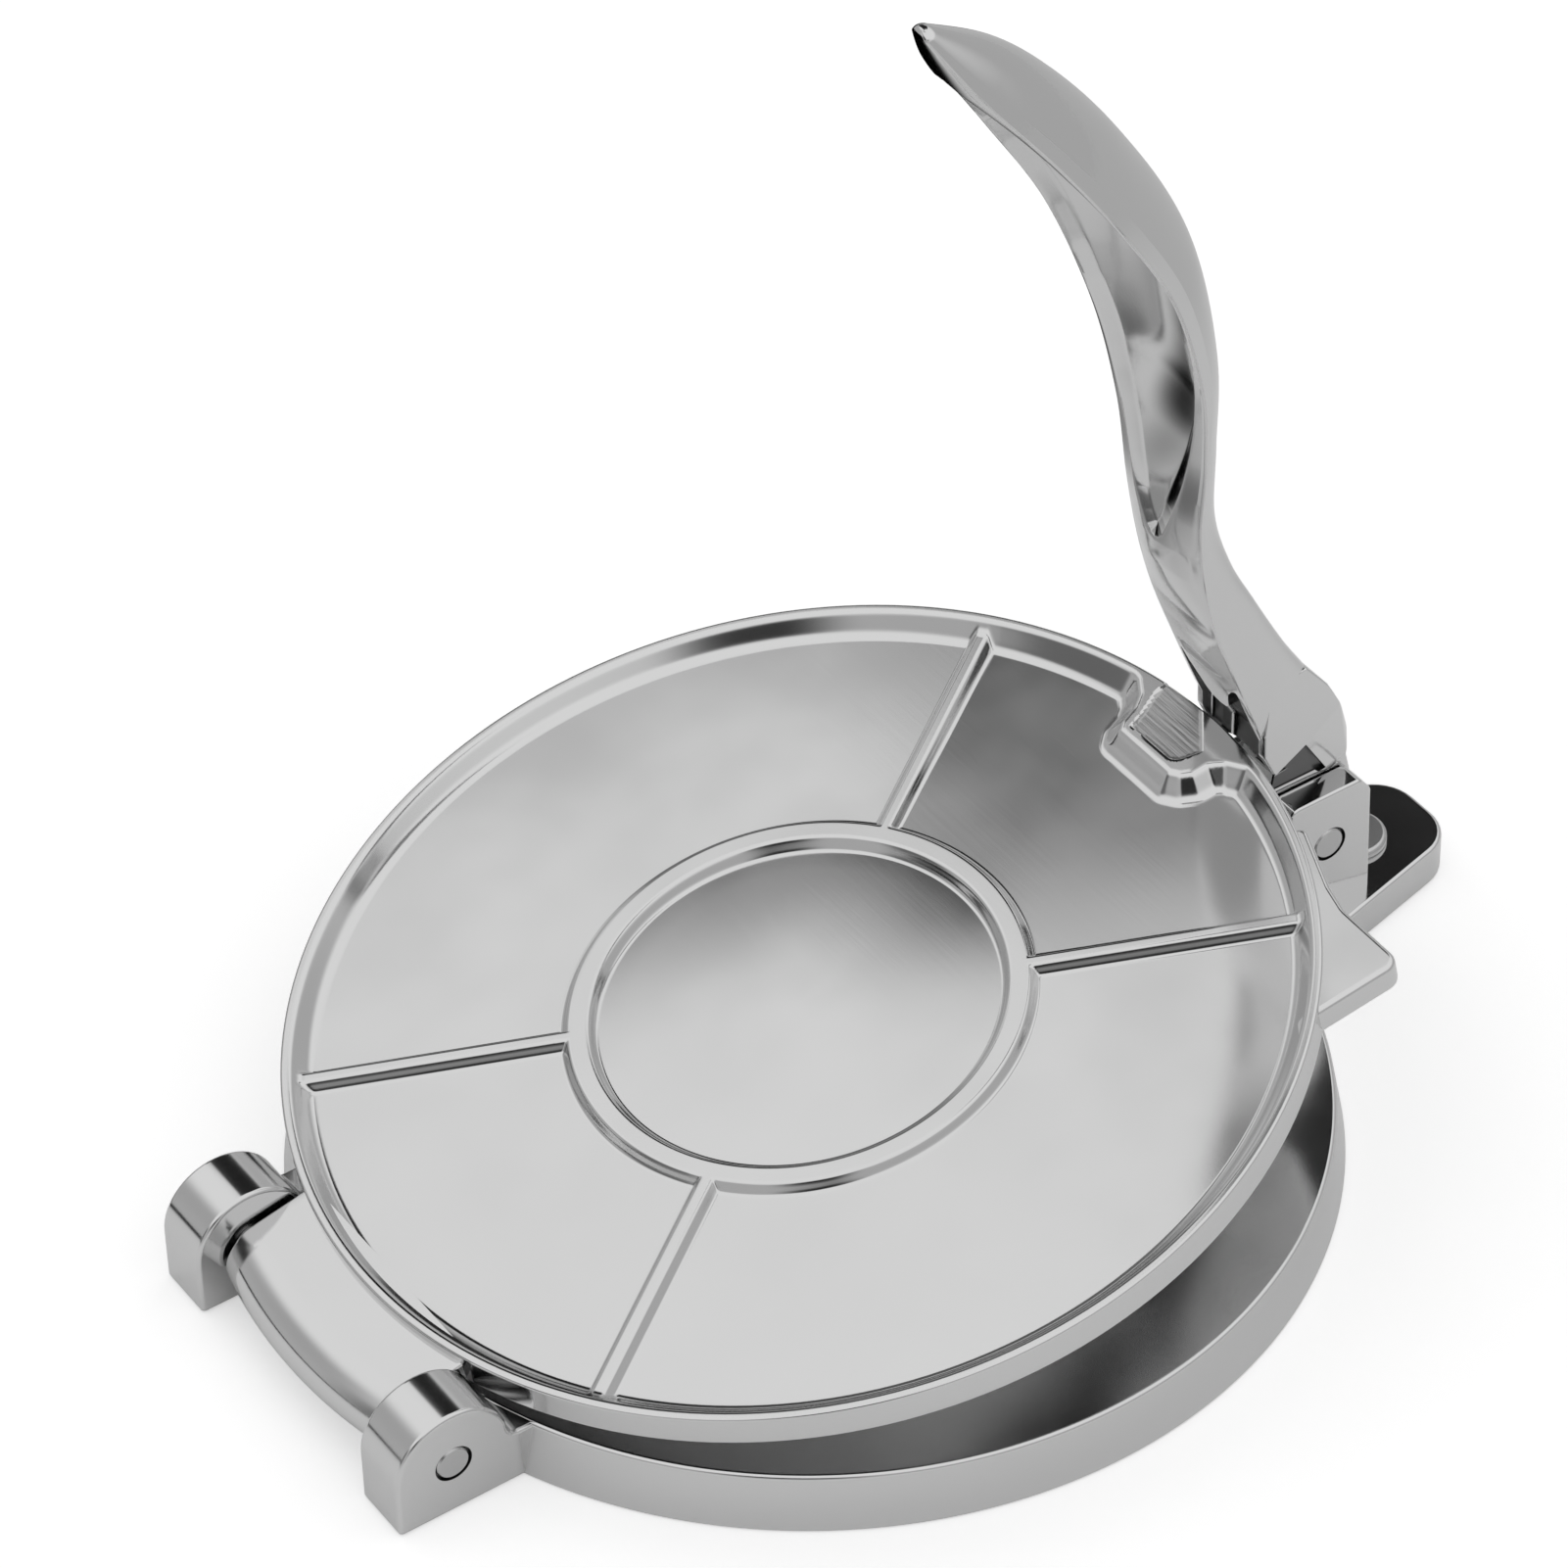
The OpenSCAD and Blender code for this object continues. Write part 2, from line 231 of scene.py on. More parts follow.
def inset(outline: np.ndarray, distance: float) -> np.ndarray:
    """Moves a closed outline inwards by a small distance.

    Args:
        outline: The outline's points.
        distance: How far each side moves.

    Returns:
        The moved points, one for each point of the outline.
    """
    ahead, behind = np.roll(outline, -1, axis=0), np.roll(outline, 1, axis=0)
    area = np.sum(outline[:, 0] * ahead[:, 1] - outline[:, 1] * ahead[:, 0])

    def normals(step: np.ndarray) -> np.ndarray:
        """Inward unit normals of some sides."""
        unit = step / np.maximum(np.linalg.norm(step, axis=1, keepdims=True), 1e-9)
        return np.stack([-unit[:, 1], unit[:, 0]], axis=1) * np.sign(area)

    one, two = normals(outline - behind), normals(ahead - outline)
    miter = (one + two) / np.maximum(1 + np.sum(one * two, axis=1, keepdims=True), 0.3)
    return outline + miter * distance


def prism(name: str, outline: np.ndarray, low: float, high: float, edge: float,
          plane: Plane = Plane.XZ, steps: int = 6) -> bpy.types.Object:
    """Extrudes an outline, with the edges of both end faces rounded.

    Args:
        name: The object's name.
        outline: The outline's points in its plane.
        low: Where it starts on the third axis.
        high: Where it ends.
        edge: Radius of the rounded edges.
        plane: The outline's plane.
        steps: Straight pieces in each rounded edge.

    Returns:
        The closed mesh object.
    """
    turns = [math.pi / 2 * k / steps for k in range(steps + 1)] if edge > 0 else [math.pi / 2]
    ends = [(low + edge * (1 - math.cos(t)), edge * (1 - math.sin(t))) for t in turns]
    ends += [(high - (place - low), shrink) for place, shrink in reversed(ends)]
    rings = np.zeros((len(ends), len(outline), 3))
    first, second, third = plane.value
    for ring, (place, shrink) in zip(rings, ends):
        flat = inset(outline, shrink) if shrink > 1e-9 else outline
        ring[:, first], ring[:, second], ring[:, third] = flat[:, 0], flat[:, 1], place
    return loft(name, rings, fans=False)


def circle(x: float, y: float, radius: float, steps: int = 64) -> np.ndarray:
    """Points of a circle in an outline's plane."""
    turn = np.arange(steps) * 2 * math.pi / steps
    return np.stack([x + radius * np.cos(turn), y + radius * np.sin(turn)], axis=1)


def revolve(name: str, profile: np.ndarray, steps: int = 256) -> bpy.types.Object:
    """Turns an open profile round the Z axis; flat fans close it at its two ends.

    Args:
        name: The object's name.
        profile: Radius and height of each point.
        steps: Points round the axis.

    Returns:
        The closed mesh object.
    """
    turn = np.arange(steps) * 2 * math.pi / steps
    rings = np.stack([np.outer(profile[:, 0], np.cos(turn)), np.outer(profile[:, 0], np.sin(turn)),
                      np.repeat(profile[:, 1:2], steps, axis=1)], axis=2)
    return loft(name, rings)


def settled(obj: bpy.types.Object, name: str | None = None) -> bpy.types.Object:
    """Applies an object's modifiers by giving it the plain mesh that they make.

    Args:
        obj: The object.
        name: A new name for the object and its mesh.

    Returns:
        The same object, with no modifiers.
    """
    bpy.context.view_layer.update()
    mesh = bpy.data.meshes.new_from_object(obj.evaluated_get(bpy.context.evaluated_depsgraph_get()))
    obj.modifiers.clear()
    old, obj.data = obj.data, mesh
    bpy.data.meshes.remove(old)
    obj.name = name or obj.name
    mesh.name = obj.name
    return obj


def combine(body: bpy.types.Object, others: Sequence[bpy.types.Object], how: Solve) -> bpy.types.Object:
    """Puts closed meshes together, and removes the others.

    Args:
        body: The object that is changed.
        others: The objects that are joined to it or cut from it.
        how: The kind of combination.

    Returns:
        The changed object.
    """
    for other in others:
        step = body.modifiers.new("combine", "BOOLEAN")
        step.object, step.operation, step.solver = other, how.value, "MANIFOLD"
    settled(body)
    for other in others:
        old = other.data
        bpy.data.objects.remove(other)
        bpy.data.meshes.remove(old)
    return body


def face_table(obj: bpy.types.Object) -> tuple[np.ndarray, np.ndarray]:
    """Centres of an object's faces, in millimetres, and their normals."""
    count = len(obj.data.polygons)
    centres, normals = np.empty(count * 3), np.empty(count * 3)
    obj.data.polygons.foreach_get("center", centres)
    obj.data.polygons.foreach_get("normal", normals)
    return centres.reshape(-1, 3) / MM, normals.reshape(-1, 3)


def smooth(obj: bpy.types.Object, crease: float = 38.0) -> bpy.types.Object:
    """Shades a mesh smooth up to a crease angle, with flats kept flat by weighted normals."""
    for face in obj.data.polygons:
        face.use_smooth = True
    obj.data.set_sharp_from_angle(angle=math.radians(crease))
    weigh = obj.modifiers.new("flats", "WEIGHTED_NORMAL")
    weigh.keep_sharp, weigh.weight, weigh.mode = True, 80, "FACE_AREA"
    return obj


def least(a: np.ndarray, b: np.ndarray | float, blend: float) -> np.ndarray:
    """The lower of two heights, with the edge between them rounded over a blend width."""
    near = np.maximum(blend - np.abs(a - b), 0) / blend
    return np.minimum(a, b) - near * near * blend / 4


def most(a: np.ndarray, b: np.ndarray | float, blend: float) -> np.ndarray:
    """The higher of two heights, with a fillet between them."""
    near = np.maximum(blend - np.abs(a - b), 0) / blend
    return np.maximum(a, b) + near * near * blend / 4


def outside(x: np.ndarray, y: np.ndarray, polygon: np.ndarray) -> np.ndarray:
    """Signed distance to a polygon, positive outside.

    Args:
        x: Points' first coordinates.
        y: Points' second coordinates.
        polygon: The polygon's corners.

    Returns:
        The distance of each point.
    """
    nearest = np.full(x.shape, 1e9)
    inside = np.zeros(x.shape, dtype=bool)
    for (ax, ay), (bx, by) in zip(polygon, np.roll(polygon, -1, axis=0)):
        dx, dy = bx - ax, by - ay
        along = np.clip(((x - ax) * dx + (y - ay) * dy) / (dx * dx + dy * dy), 0, 1)
        nearest = np.minimum(nearest, np.hypot(x - ax - along * dx, y - ay - along * dy))
        crosses = (ay > y) != (by > y)
        inside ^= crosses & (x < ax + (y - ay) * dx / (dy if dy else 1e-9))
    return np.where(inside, -nearest, nearest)


# ---------------------------------------------------------------- finishes


def new_material(name: str) -> tuple[bpy.types.Material, bpy.types.NodeTree, bpy.types.Node]:
    """Makes an empty node material.

    Args:
        name: The material's name.

    Returns:
        The material, its tree and its shader.
    """
    material = bpy.data.materials.new(name)
    material.use_nodes = True
    return material, material.node_tree, material.node_tree.nodes["Principled BSDF"]


def new_metal(name: str, colour: str) -> tuple[bpy.types.Material, bpy.types.NodeTree, bpy.types.Node]:
    """Makes a bare metal of one colour.

    Args:
        name: The material's name.
        colour: Its sRGB hex colour.

    Returns:
        The material, its tree and its shader.
    """
    material, tree, shader = new_material(name)
    shader.inputs["Base Color"].default_value = hex_linear(colour)
    shader.inputs["Metallic"].default_value = 1.0
    return material, tree, shader


def add_noise(tree: bpy.types.NodeTree, place: bpy.types.NodeSocket, size_mm: float, detail: float,
              rough: float = 0.5) -> bpy.types.NodeSocket:
    """Adds a noise pattern.

    Args:
        tree: The material's tree.
        place: The coordinates that it is drawn on.
        size_mm: Its size.
        detail: How many finer layers it has.
        rough: How strong those layers are.

    Returns:
        The pattern, from 0 to 1.
    """
    return add_node(tree, "ShaderNodeTexNoise", {
        "Vector": place, "Scale": 1 / (size_mm * MM), "Detail": detail, "Roughness": rough}).outputs["Fac"]


def add_bump(tree: bpy.types.NodeTree, height: bpy.types.NodeSocket, strength: float, depth_mm: float,
             **under: bpy.types.NodeSocket) -> bpy.types.NodeSocket:
    """Adds relief from a pattern.

    Args:
        tree: The material's tree.
        height: The pattern.
        strength: How much of the relief shows.
        depth_mm: Its depth.
        **under: The Normal of relief that this one lies on.

    Returns:
        The normal.
    """
    return add_node(tree, "ShaderNodeBump", {
        "Height": height, "Strength": strength, "Distance": depth_mm * MM, **under}).outputs["Normal"]


@dataclass(frozen=True)
class PolishedAluminium:
    """Die-cast aluminium, tumbled and buffed.

    It gives a soft mirror: shapes show with blurred edges, the polish rolls the gloss a little from
    place to place, and hairlines from the buffing wheel run one way.
    """

    name: str = "polished_cast_aluminium"
    colour: str = "#DADADA"
    roughness: float = 0.12
    patch_mm: float = 26.0       # size of the patches that the buffing leaves glossier or duller
    patch_span: tuple[float, float] = (0.85, 1.2)    # their roughness, as shares of the whole's
    hairline_mm: float = 0.9     # drawn coarser than the real 0.05 mm hairlines, so that they show
    hairline_run: tuple[float, float, float] = (1.0, 0.03, 1.0)
    hairline_strength: float = 0.012
    hairline_depth_mm: float = 0.1
    wave_mm: float = 95.0        # length of the gentle waves that die-cast walls keep under the polish
    wave_height_mm: float = 0.45

    def make(self) -> bpy.types.Material:
        """Builds the material.

        Returns:
            The material.
        """
        material, tree, shader = new_metal(self.name, self.colour)
        place = add_node(tree, "ShaderNodeTexCoord").outputs["Object"]
        low, high = self.patch_span
        gloss = add_node(tree, "ShaderNodeMapRange", {
            "Value": add_noise(tree, place, self.patch_mm, 2.0), "From Min": NOISE_SPAN[0],
            "From Max": NOISE_SPAN[1], "To Min": self.roughness * low, "To Max": self.roughness * high})
        tree.links.new(gloss.outputs["Result"], shader.inputs["Roughness"])
        run = add_node(tree, "ShaderNodeMapping", {"Vector": place, "Scale": self.hairline_run}).outputs[0]
        hairs = add_noise(tree, run, self.hairline_mm, 3.0)
        fine = add_bump(tree, hairs, self.hairline_strength, self.hairline_depth_mm)
        waves = add_noise(tree, place, self.wave_mm, 1.0)
        bump = add_bump(tree, waves, 1.0, self.wave_height_mm, Normal=fine)
        tree.links.new(bump, shader.inputs["Normal"])
        return material


@dataclass(frozen=True)
class GroundAluminium:
    """The same casting where a grinding belt has cut it flat: duller, with fine parallel scratches."""

    name: str = "ground_cast_aluminium"
    colour: str = "#BEBEBE"
    roughness: float = 0.34
    scratch_mm: float = 0.9      # belt grit leaves about 0.2 mm; drawn coarser so that it shows
    scratch_run: tuple[float, float, float] = (1.0, 0.05, 0.05)
    scratch_strength: float = 0.6
    scratch_depth_mm: float = 0.2

    def make(self) -> bpy.types.Material:
        """Builds the material.

        Returns:
            The material.
        """
        material, tree, shader = new_metal(self.name, self.colour)
        shader.inputs["Roughness"].default_value = self.roughness
        place = add_node(tree, "ShaderNodeTexCoord").outputs["Object"]
        run = add_node(tree, "ShaderNodeMapping", {"Vector": place, "Scale": self.scratch_run}).outputs[0]
        lines = add_noise(tree, run, self.scratch_mm, 4.0)
        bump = add_bump(tree, lines, self.scratch_strength, self.scratch_depth_mm)
        tree.links.new(bump, shader.inputs["Normal"])
        return material


@dataclass(frozen=True)
class AsCastAluminium:
    """The casting as it leaves the die, under the plates: a grey satin skin with a fine grain."""

    name: str = "as_cast_aluminium"
    colour: str = "#BABABA"
    roughness: float = 0.46
    grain_mm: float = 1.1        # a cast skin's grain is nearer 0.3 mm; drawn coarser so that it shows
    grain_strength: float = 0.3
    grain_depth_mm: float = 0.12

    def make(self) -> bpy.types.Material:
        """Builds the material.

        Returns:
            The material.
        """
        material, tree, shader = new_metal(self.name, self.colour)
        shader.inputs["Roughness"].default_value = self.roughness
        place = add_node(tree, "ShaderNodeTexCoord").outputs["Object"]
        grain = add_noise(tree, place, self.grain_mm, 5.0, 0.6)
        bump = add_bump(tree, grain, self.grain_strength, self.grain_depth_mm)
        tree.links.new(bump, shader.inputs["Normal"])
        return material


@dataclass(frozen=True)
class PaintedShadeAluminium:
    """Painted shade: a dark grey put in the lever's undercuts, round its thumb and in the pin bores, where
    shade falls.
    """

    name: str = "painted_shade_aluminium"
    # painted shade: a dark grey that stands in for the shade in recesses
    colour: str = "#6C6C6C"
    roughness: float = 0.3

    def make(self) -> bpy.types.Material:
        """Builds the material.

        Returns:
            The material.
        """
        material, _, shader = new_metal(self.name, self.colour)
        shader.inputs["Roughness"].default_value = self.roughness
        return material


@dataclass(frozen=True)
class BrushedSteel:
    """Turned steel pin stock: a little darker than the aluminium, with a fine turned grain."""

    name: str = "turned_steel"
    colour: str = "#C6C6C6"
    roughness: float = 0.26
    ring_mm: float = 0.5         # a fine lathe feed is 0.1 mm; drawn coarser so that it shows
    ring_strength: float = 0.1
    ring_depth_mm: float = 0.05

    def make(self) -> bpy.types.Material:
        """Builds the material.

        Returns:
            The material.
        """
        material, tree, shader = new_metal(self.name, self.colour)
        shader.inputs["Roughness"].default_value = self.roughness
        place = add_node(tree, "ShaderNodeTexCoord").outputs["Object"]
        rings = add_noise(tree, place, self.ring_mm, 3.0)
        bump = add_bump(tree, rings, self.ring_strength, self.ring_depth_mm)
        tree.links.new(bump, shader.inputs["Normal"])
        return material


@dataclass
class Finishes:
    """The finishes of the press and the grey of its painted shade, made once and shared by its pieces."""

    polished: bpy.types.Material = field(default_factory=lambda: PolishedAluminium().make())
    ground: bpy.types.Material = field(default_factory=lambda: GroundAluminium().make())
    as_cast: bpy.types.Material = field(default_factory=lambda: AsCastAluminium().make())
    # painted shade, for the lever's undercuts and thumb gap and for the pin bores
    painted_shade: bpy.types.Material = field(default_factory=lambda: PaintedShadeAluminium().make())
    steel: bpy.types.Material = field(default_factory=lambda: BrushedSteel().make())


def hand_over(obj: bpy.types.Object, body: str, nodes: Sequence[str]) -> None:
    """Rides a finished piece on its body, in place of the nodes that it dresses.

    Args:
        obj: The piece.
        body: The body that it moves with.
        nodes: The CAD nodes that it replaces.
    """
    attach(obj, body)
    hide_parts(*nodes)
    LOG.info("%s: %d faces, on %s", obj.name, len(obj.data.polygons), body)


def joint(name: str) -> dict[str, Any]:
    """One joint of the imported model, by name."""
    return next(j for j in frame["joints"] if j["name"] == name)


# ---------------------------------------------------------------- upper plate


@dataclass
class UpperPlate:
    """The upper casting: disc with ring, ribs and pressure pad, hinge tongue and finger tab.

    It is built lying shut, and then turned up about the hinge to where it stands.
    """

    finishes: Finishes
    radius: float = 100.0
    underside_z: float = 12.6
    rim_z: float = 19.8
    rim_w: float = 1.95
    panel_drop: float = 4.0
    bead_drop: float = 1.9
    slope: float = 1.22             # rise over run of the rim's and the pad's inner side
    bead_slope: float = 1.5
    ring_mid_r: float = 42.5
    ring_w: float = 4.0
    rib_angle: float = 31.96
    rib_w: float = 2.2
    # heights over which tops are rounded and feet blend into what they stand on
    ring_round: float = 0.5
    rib_round: float = 0.45
    rim_round: float = 0.7
    pad_fillet: float = 0.8
    bead_fillet: float = 0.5
    fillet: float = 1.3
    edge: float = 0.6
    foot_round: float = 0.9
    flare: float = 0.2              # how much wider the disc is at its foot
    crown: float = 0.1              # how far the cast panels bulge over the whole disc
    crown_r: float = 96.0
    disc_crown: float = 0.6         # the same inside the ring
    disc_tilt: float = 0.011        # slope of the floor inside the ring, and the way that it falls
    disc_way: tuple[float, float] = (0.6, 0.8)
    front_tilt: float = 0.018       # slope with which the front panel falls towards the rim
    front_level: float = 0.7        # share of the radius at which it is as high as without it
    pad: tuple[tuple[float, float], ...] = (
        (85.0, -5.8), (85.0, 9.6), (86.6, 11.0), (90.5, 12.3), (93.6, 14.5), (95.8, 18.0), (97.6, 24.0),
        (104.0, 24.0), (104.0, -21.0), (97.2, -21.0), (96.6, -15.5), (94.4, -11.6), (91.6, -9.4),
        (88.3, -9.2), (86.2, -7.8))
    ground: tuple[tuple[float, float], ...] = (
        (87.2, 8.9), (90.5, 9.9), (95.5, 12.2), (101.0, 13.6), (101.0, 4.4), (93.0, -6.1), (88.3, -4.5),
        (87.3, -3.0))
    ground_drop: float = 0.35
    ground_slope: float = 1.3
    bore_r: float = 3.6
    tongue_half: float = 27.6
    tongue_edge: float = 0.8
    tongue_r: float = 119.0
    tongue_drop: float = 2.0
    roll_w: float = 9.0
    roll_h: float = 7.2
    tab_x: float = 88.4
    tab_y: float = 73.4
    tab_root: float = 2.6           # how far inside the rim the tab starts
    tab_drop: float = 0.9           # how far its top lies below the rim
    tab_edge: float = 1.1

    def build(self) -> bpy.types.Object:
        """Builds the casting and puts it on its body.

        Returns:
            The finished piece.
        """
        hinge = joint("plate_stage")
        self.hinge_x, self.hinge_z = hinge["pos_m"][0] / MM, hinge["pos_m"][2] / MM
        self.opening = -min(hinge["range_deg"])
        body = self.disc()
        combine(body, [self.tongue(), self.barrel(), self.tab()], Solve.UNION)
        bore = prism("bore", circle(self.hinge_x, self.hinge_z, self.bore_r), -40, 40, 0)
        combine(body, [bore], Solve.CUT)
        body.name = "upper_plate_casting"
        self.dress(body)
        self.stand_open(body)
        smooth(body)
        hand_over(body, "upper_plate", ["upper_plate"])
        return body

    def height(self, x: np.ndarray, y: np.ndarray) -> np.ndarray:
        """Height of the plate's top face over each point, with the plate shut.

        Args:
            x: Points' X.
            y: Points' Y.

        Returns:
            Heights.
        """
        r = np.hypot(x, y)
        panel, bead = self.rim_z - self.panel_drop, self.rim_z - self.bead_drop
        ring = bead - self.bead_slope * (np.abs(r - self.ring_mid_r) - self.ring_w / 2)
        top = least(ring, bead, self.ring_round)
        for side in (1, -1):
            for angle in (self.rib_angle * side, 180 - self.rib_angle * side):
                c, s = math.cos(math.radians(angle)), math.sin(math.radians(angle))
                across = np.abs(c * y - s * x) - self.rib_w / 2
                start = self.ring_mid_r - (c * x + s * y)
                rib = bead - self.bead_slope * np.maximum(across, start)
                top = np.maximum(top, least(rib, bead, self.rib_round))
        rim = self.rim_z - self.slope * (self.radius - self.rim_w - r)
        pad = self.rim_z - self.slope * outside(x, y, np.array(self.pad))
        tall = least(most(rim, pad, self.pad_fillet), self.rim_z, self.rim_round)
        floor = panel + self.crown * np.clip(1 - (r / self.crown_r) ** 2, 0, 1)
        floor = floor + self.disc_crown * np.clip(1 - (r / self.ring_mid_r) ** 2, 0, 1)
        front = np.abs(np.arctan2(y, x)) < math.radians(self.rib_angle)
        falls = self.front_tilt * (x - self.front_level * self.radius)
        leans = self.disc_tilt * (self.disc_way[0] * x + self.disc_way[1] * y)
        floor = floor - np.where(r < self.ring_mid_r, leans, np.where(front, falls, 0.0))
        out = most(most(floor, top, self.bead_fillet), tall, self.fillet)
        near = (np.abs(y) < 20) & (x > 80)
        cut = np.clip(-self.ground_slope * outside(x, y, np.array(self.ground)), 0, self.ground_drop)
        return out - np.where(near, cut, 0.0)

    def lines(self, radii: np.ndarray) -> np.ndarray:
        """Angles of the grid's lines at each radius: parallel to the ribs beside them, dense at the pad.

        Args:
            radii: The grid's radii.

        Returns:
            Angles, as (radius, line).
        """
        beside = np.concatenate([
            np.arange(-4.0, -2.9, 0.5), np.arange(-2.8, 2.81, 0.28), np.arange(3.0, 4.1, 0.5)])
        reach = np.arcsin(beside[-1] / np.maximum(radii, 38.0))[:, None]
        ribs = [-self.rib_angle, self.rib_angle, 180 - self.rib_angle, 180 + self.rib_angle]
        fine = np.radians(15.5)
        columns: list[np.ndarray] = []
        for i, angle in enumerate(ribs):
            here = math.radians(angle)
            after = math.radians(ribs[(i + 1) % 4]) + (2 * math.pi if i == 3 else 0)
            columns.append(here + np.arcsin(beside[None, :] / np.maximum(radii, 38.0)[:, None]))
            low, high = here + reach, after - reach
            if i == 0:
                steps = np.linspace(0, 1, 9)[1:-1] * 0.999
                left = low + (-fine - low) * steps[None, :]
                centre = np.repeat(np.linspace(-fine, fine, 125)[None, :], len(radii), axis=0)
                right = fine + (high - fine) * steps[None, :]
                columns += [left, centre, right]
            else:
                count = int(round(math.degrees(after - here) / 1.9))
                columns.append(low + (high - low) * (np.arange(1, count) / count)[None, :])
        return np.concatenate(columns, axis=1)

    def disc(self) -> bpy.types.Object:
        """The round plate: a dense grid over its top face, then its edge and its flat underside."""
        top_r = self.radius - self.edge
        radii = np.concatenate([
            [2.0, 12.0, 24.0, 34.0, 37.0], np.arange(37.8, 47.3, 0.28), np.arange(48.5, 78.0, 4.0),
            np.arange(79.0, 93.0, 0.4), np.arange(93.2, top_r, 0.28), [top_r]])
        angle = self.lines(radii)
        x, y = radii[:, None] * np.cos(angle), radii[:, None] * np.sin(angle)
        rings = [np.stack([x, y, self.height(x, y)], axis=2)]
        rim = rings[0][-1]
        flat = angle[-1]
        foot_r, low = self.radius + self.flare, self.underside_z
        turns = np.radians([22.5, 45.0, 67.5, 90.0])
        below = [(top_r + self.edge * math.sin(t), rim[:, 2] - self.edge * (1 - math.cos(t)))
                 for t in turns]
        below.append((foot_r, np.full(flat.shape, low + self.foot_round)))
        below += [(foot_r - self.foot_round * (1 - math.cos(t)),
                   np.full(flat.shape, low + self.foot_round * (1 - math.sin(t)))) for t in turns]
        below += [(r, np.full(flat.shape, low)) for r in (70.0, 30.0, 2.0)]
        for r, z in below:
            rings.append(np.stack([r * np.cos(flat), r * np.sin(flat), z], axis=1)[None])
        return loft("plate_disc", np.concatenate(rings, axis=0))

    def tongue(self) -> bpy.types.Object:
        """The hinge tongue: flat on top, its end rolled down over the barrel."""
        top = self.rim_z - self.tongue_drop
        reach = self.tongue_r
        roll = [(reach - self.roll_w * (1 - math.sin(t)), top - self.roll_h * (1 - math.cos(t)), 0.0)
                for t in np.linspace(0, math.pi / 2, 15)]
        profile = rounded([(96.0, 12.9, 0), (96.0, top, 0), *roll, (reach - 0.3, 9.2, 0.9),
                           (110.0, 8.6, 1.0), (105.0, 12.7, 1.0)], steps=6)
        turns = np.linspace(0, math.pi / 2, 5)
        half, edge = self.tongue_half, self.tongue_edge
        ends = [(-half + edge * (1 - math.cos(t)), edge * (1 - math.sin(t))) for t in turns]
        levels = ends + [(y, 0.0) for y in np.linspace(-half + edge, half - edge, 40)[1:-1]]
        levels += [(-y, shrink) for y, shrink in reversed(ends)]
        rings = []
        for y, shrink in levels:
            flat = inset(profile, shrink) if shrink > 1e-9 else profile
            x = -np.sqrt(np.maximum(flat[:, 0] ** 2 - y * y, 1.0))
            x = np.where(flat[:, 0] < 97.5, -94.0, x)
            rings.append(np.stack([x, np.full(x.shape, y), flat[:, 1]], axis=1))
        return loft("hinge_tongue", np.array(rings), fans=False)

    def barrel(self) -> bpy.types.Object:
        """The barrel of the hinge, under the tongue."""
        r = self.rim_z - self.tongue_drop - self.hinge_z - 0.05
        return prism("hinge_barrel", circle(self.hinge_x, self.hinge_z, r), -self.tongue_half + 0.01,
                     self.tongue_half - 0.01, self.tongue_edge)

    def tab(self) -> bpy.types.Object:
        """The finger tab beside the lever."""
        x, y = self.tab_x, -self.tab_y
        inner = self.radius - self.tab_root
        arc = [(inner * math.cos(math.radians(a)), inner * math.sin(math.radians(a)), 0.0)
               for a in range(-20, -51, -2)]
        outline = rounded([*arc, (66.0, y + 1.2, 3.0), (x - 0.2, y, 3.2), (x, -56.0, 8.0),
                           (x + 1.6, -49.5, 9.0), (96.2, -34.0, 4.0)], steps=6)
        return prism("finger_tab", outline, self.underside_z + 0.1, self.rim_z - self.tab_drop,
                     self.tab_edge, Plane.XY)

    def dress(self, obj: bpy.types.Object) -> None:
        """Gives the ground facet of the pad its own finish, and the rest the polish."""
        obj.data.materials.clear()
        obj.data.materials.append(self.finishes.polished)
        obj.data.materials.append(self.finishes.ground)
        centres, _ = face_table(obj)
        on_top = centres[:, 2] > self.rim_z - self.ground_drop - 0.1
        inner = outside(centres[:, 0], centres[:, 1], np.array(self.ground)) < -0.1
        obj.data.polygons.foreach_set("material_index", (on_top & inner).astype(np.int32))

    def stand_open(self, obj: bpy.types.Object) -> None:
        """Turns the shut plate up about the hinge to the angle at which it stands."""
        pivot = Matrix.Translation((self.hinge_x * MM, 0, self.hinge_z * MM))
        turn = Matrix.Rotation(-math.radians(self.opening), 4, "Y")
        obj.data.transform(pivot @ turn @ pivot.inverted())


# ---------------------------------------------------------------- lower plate


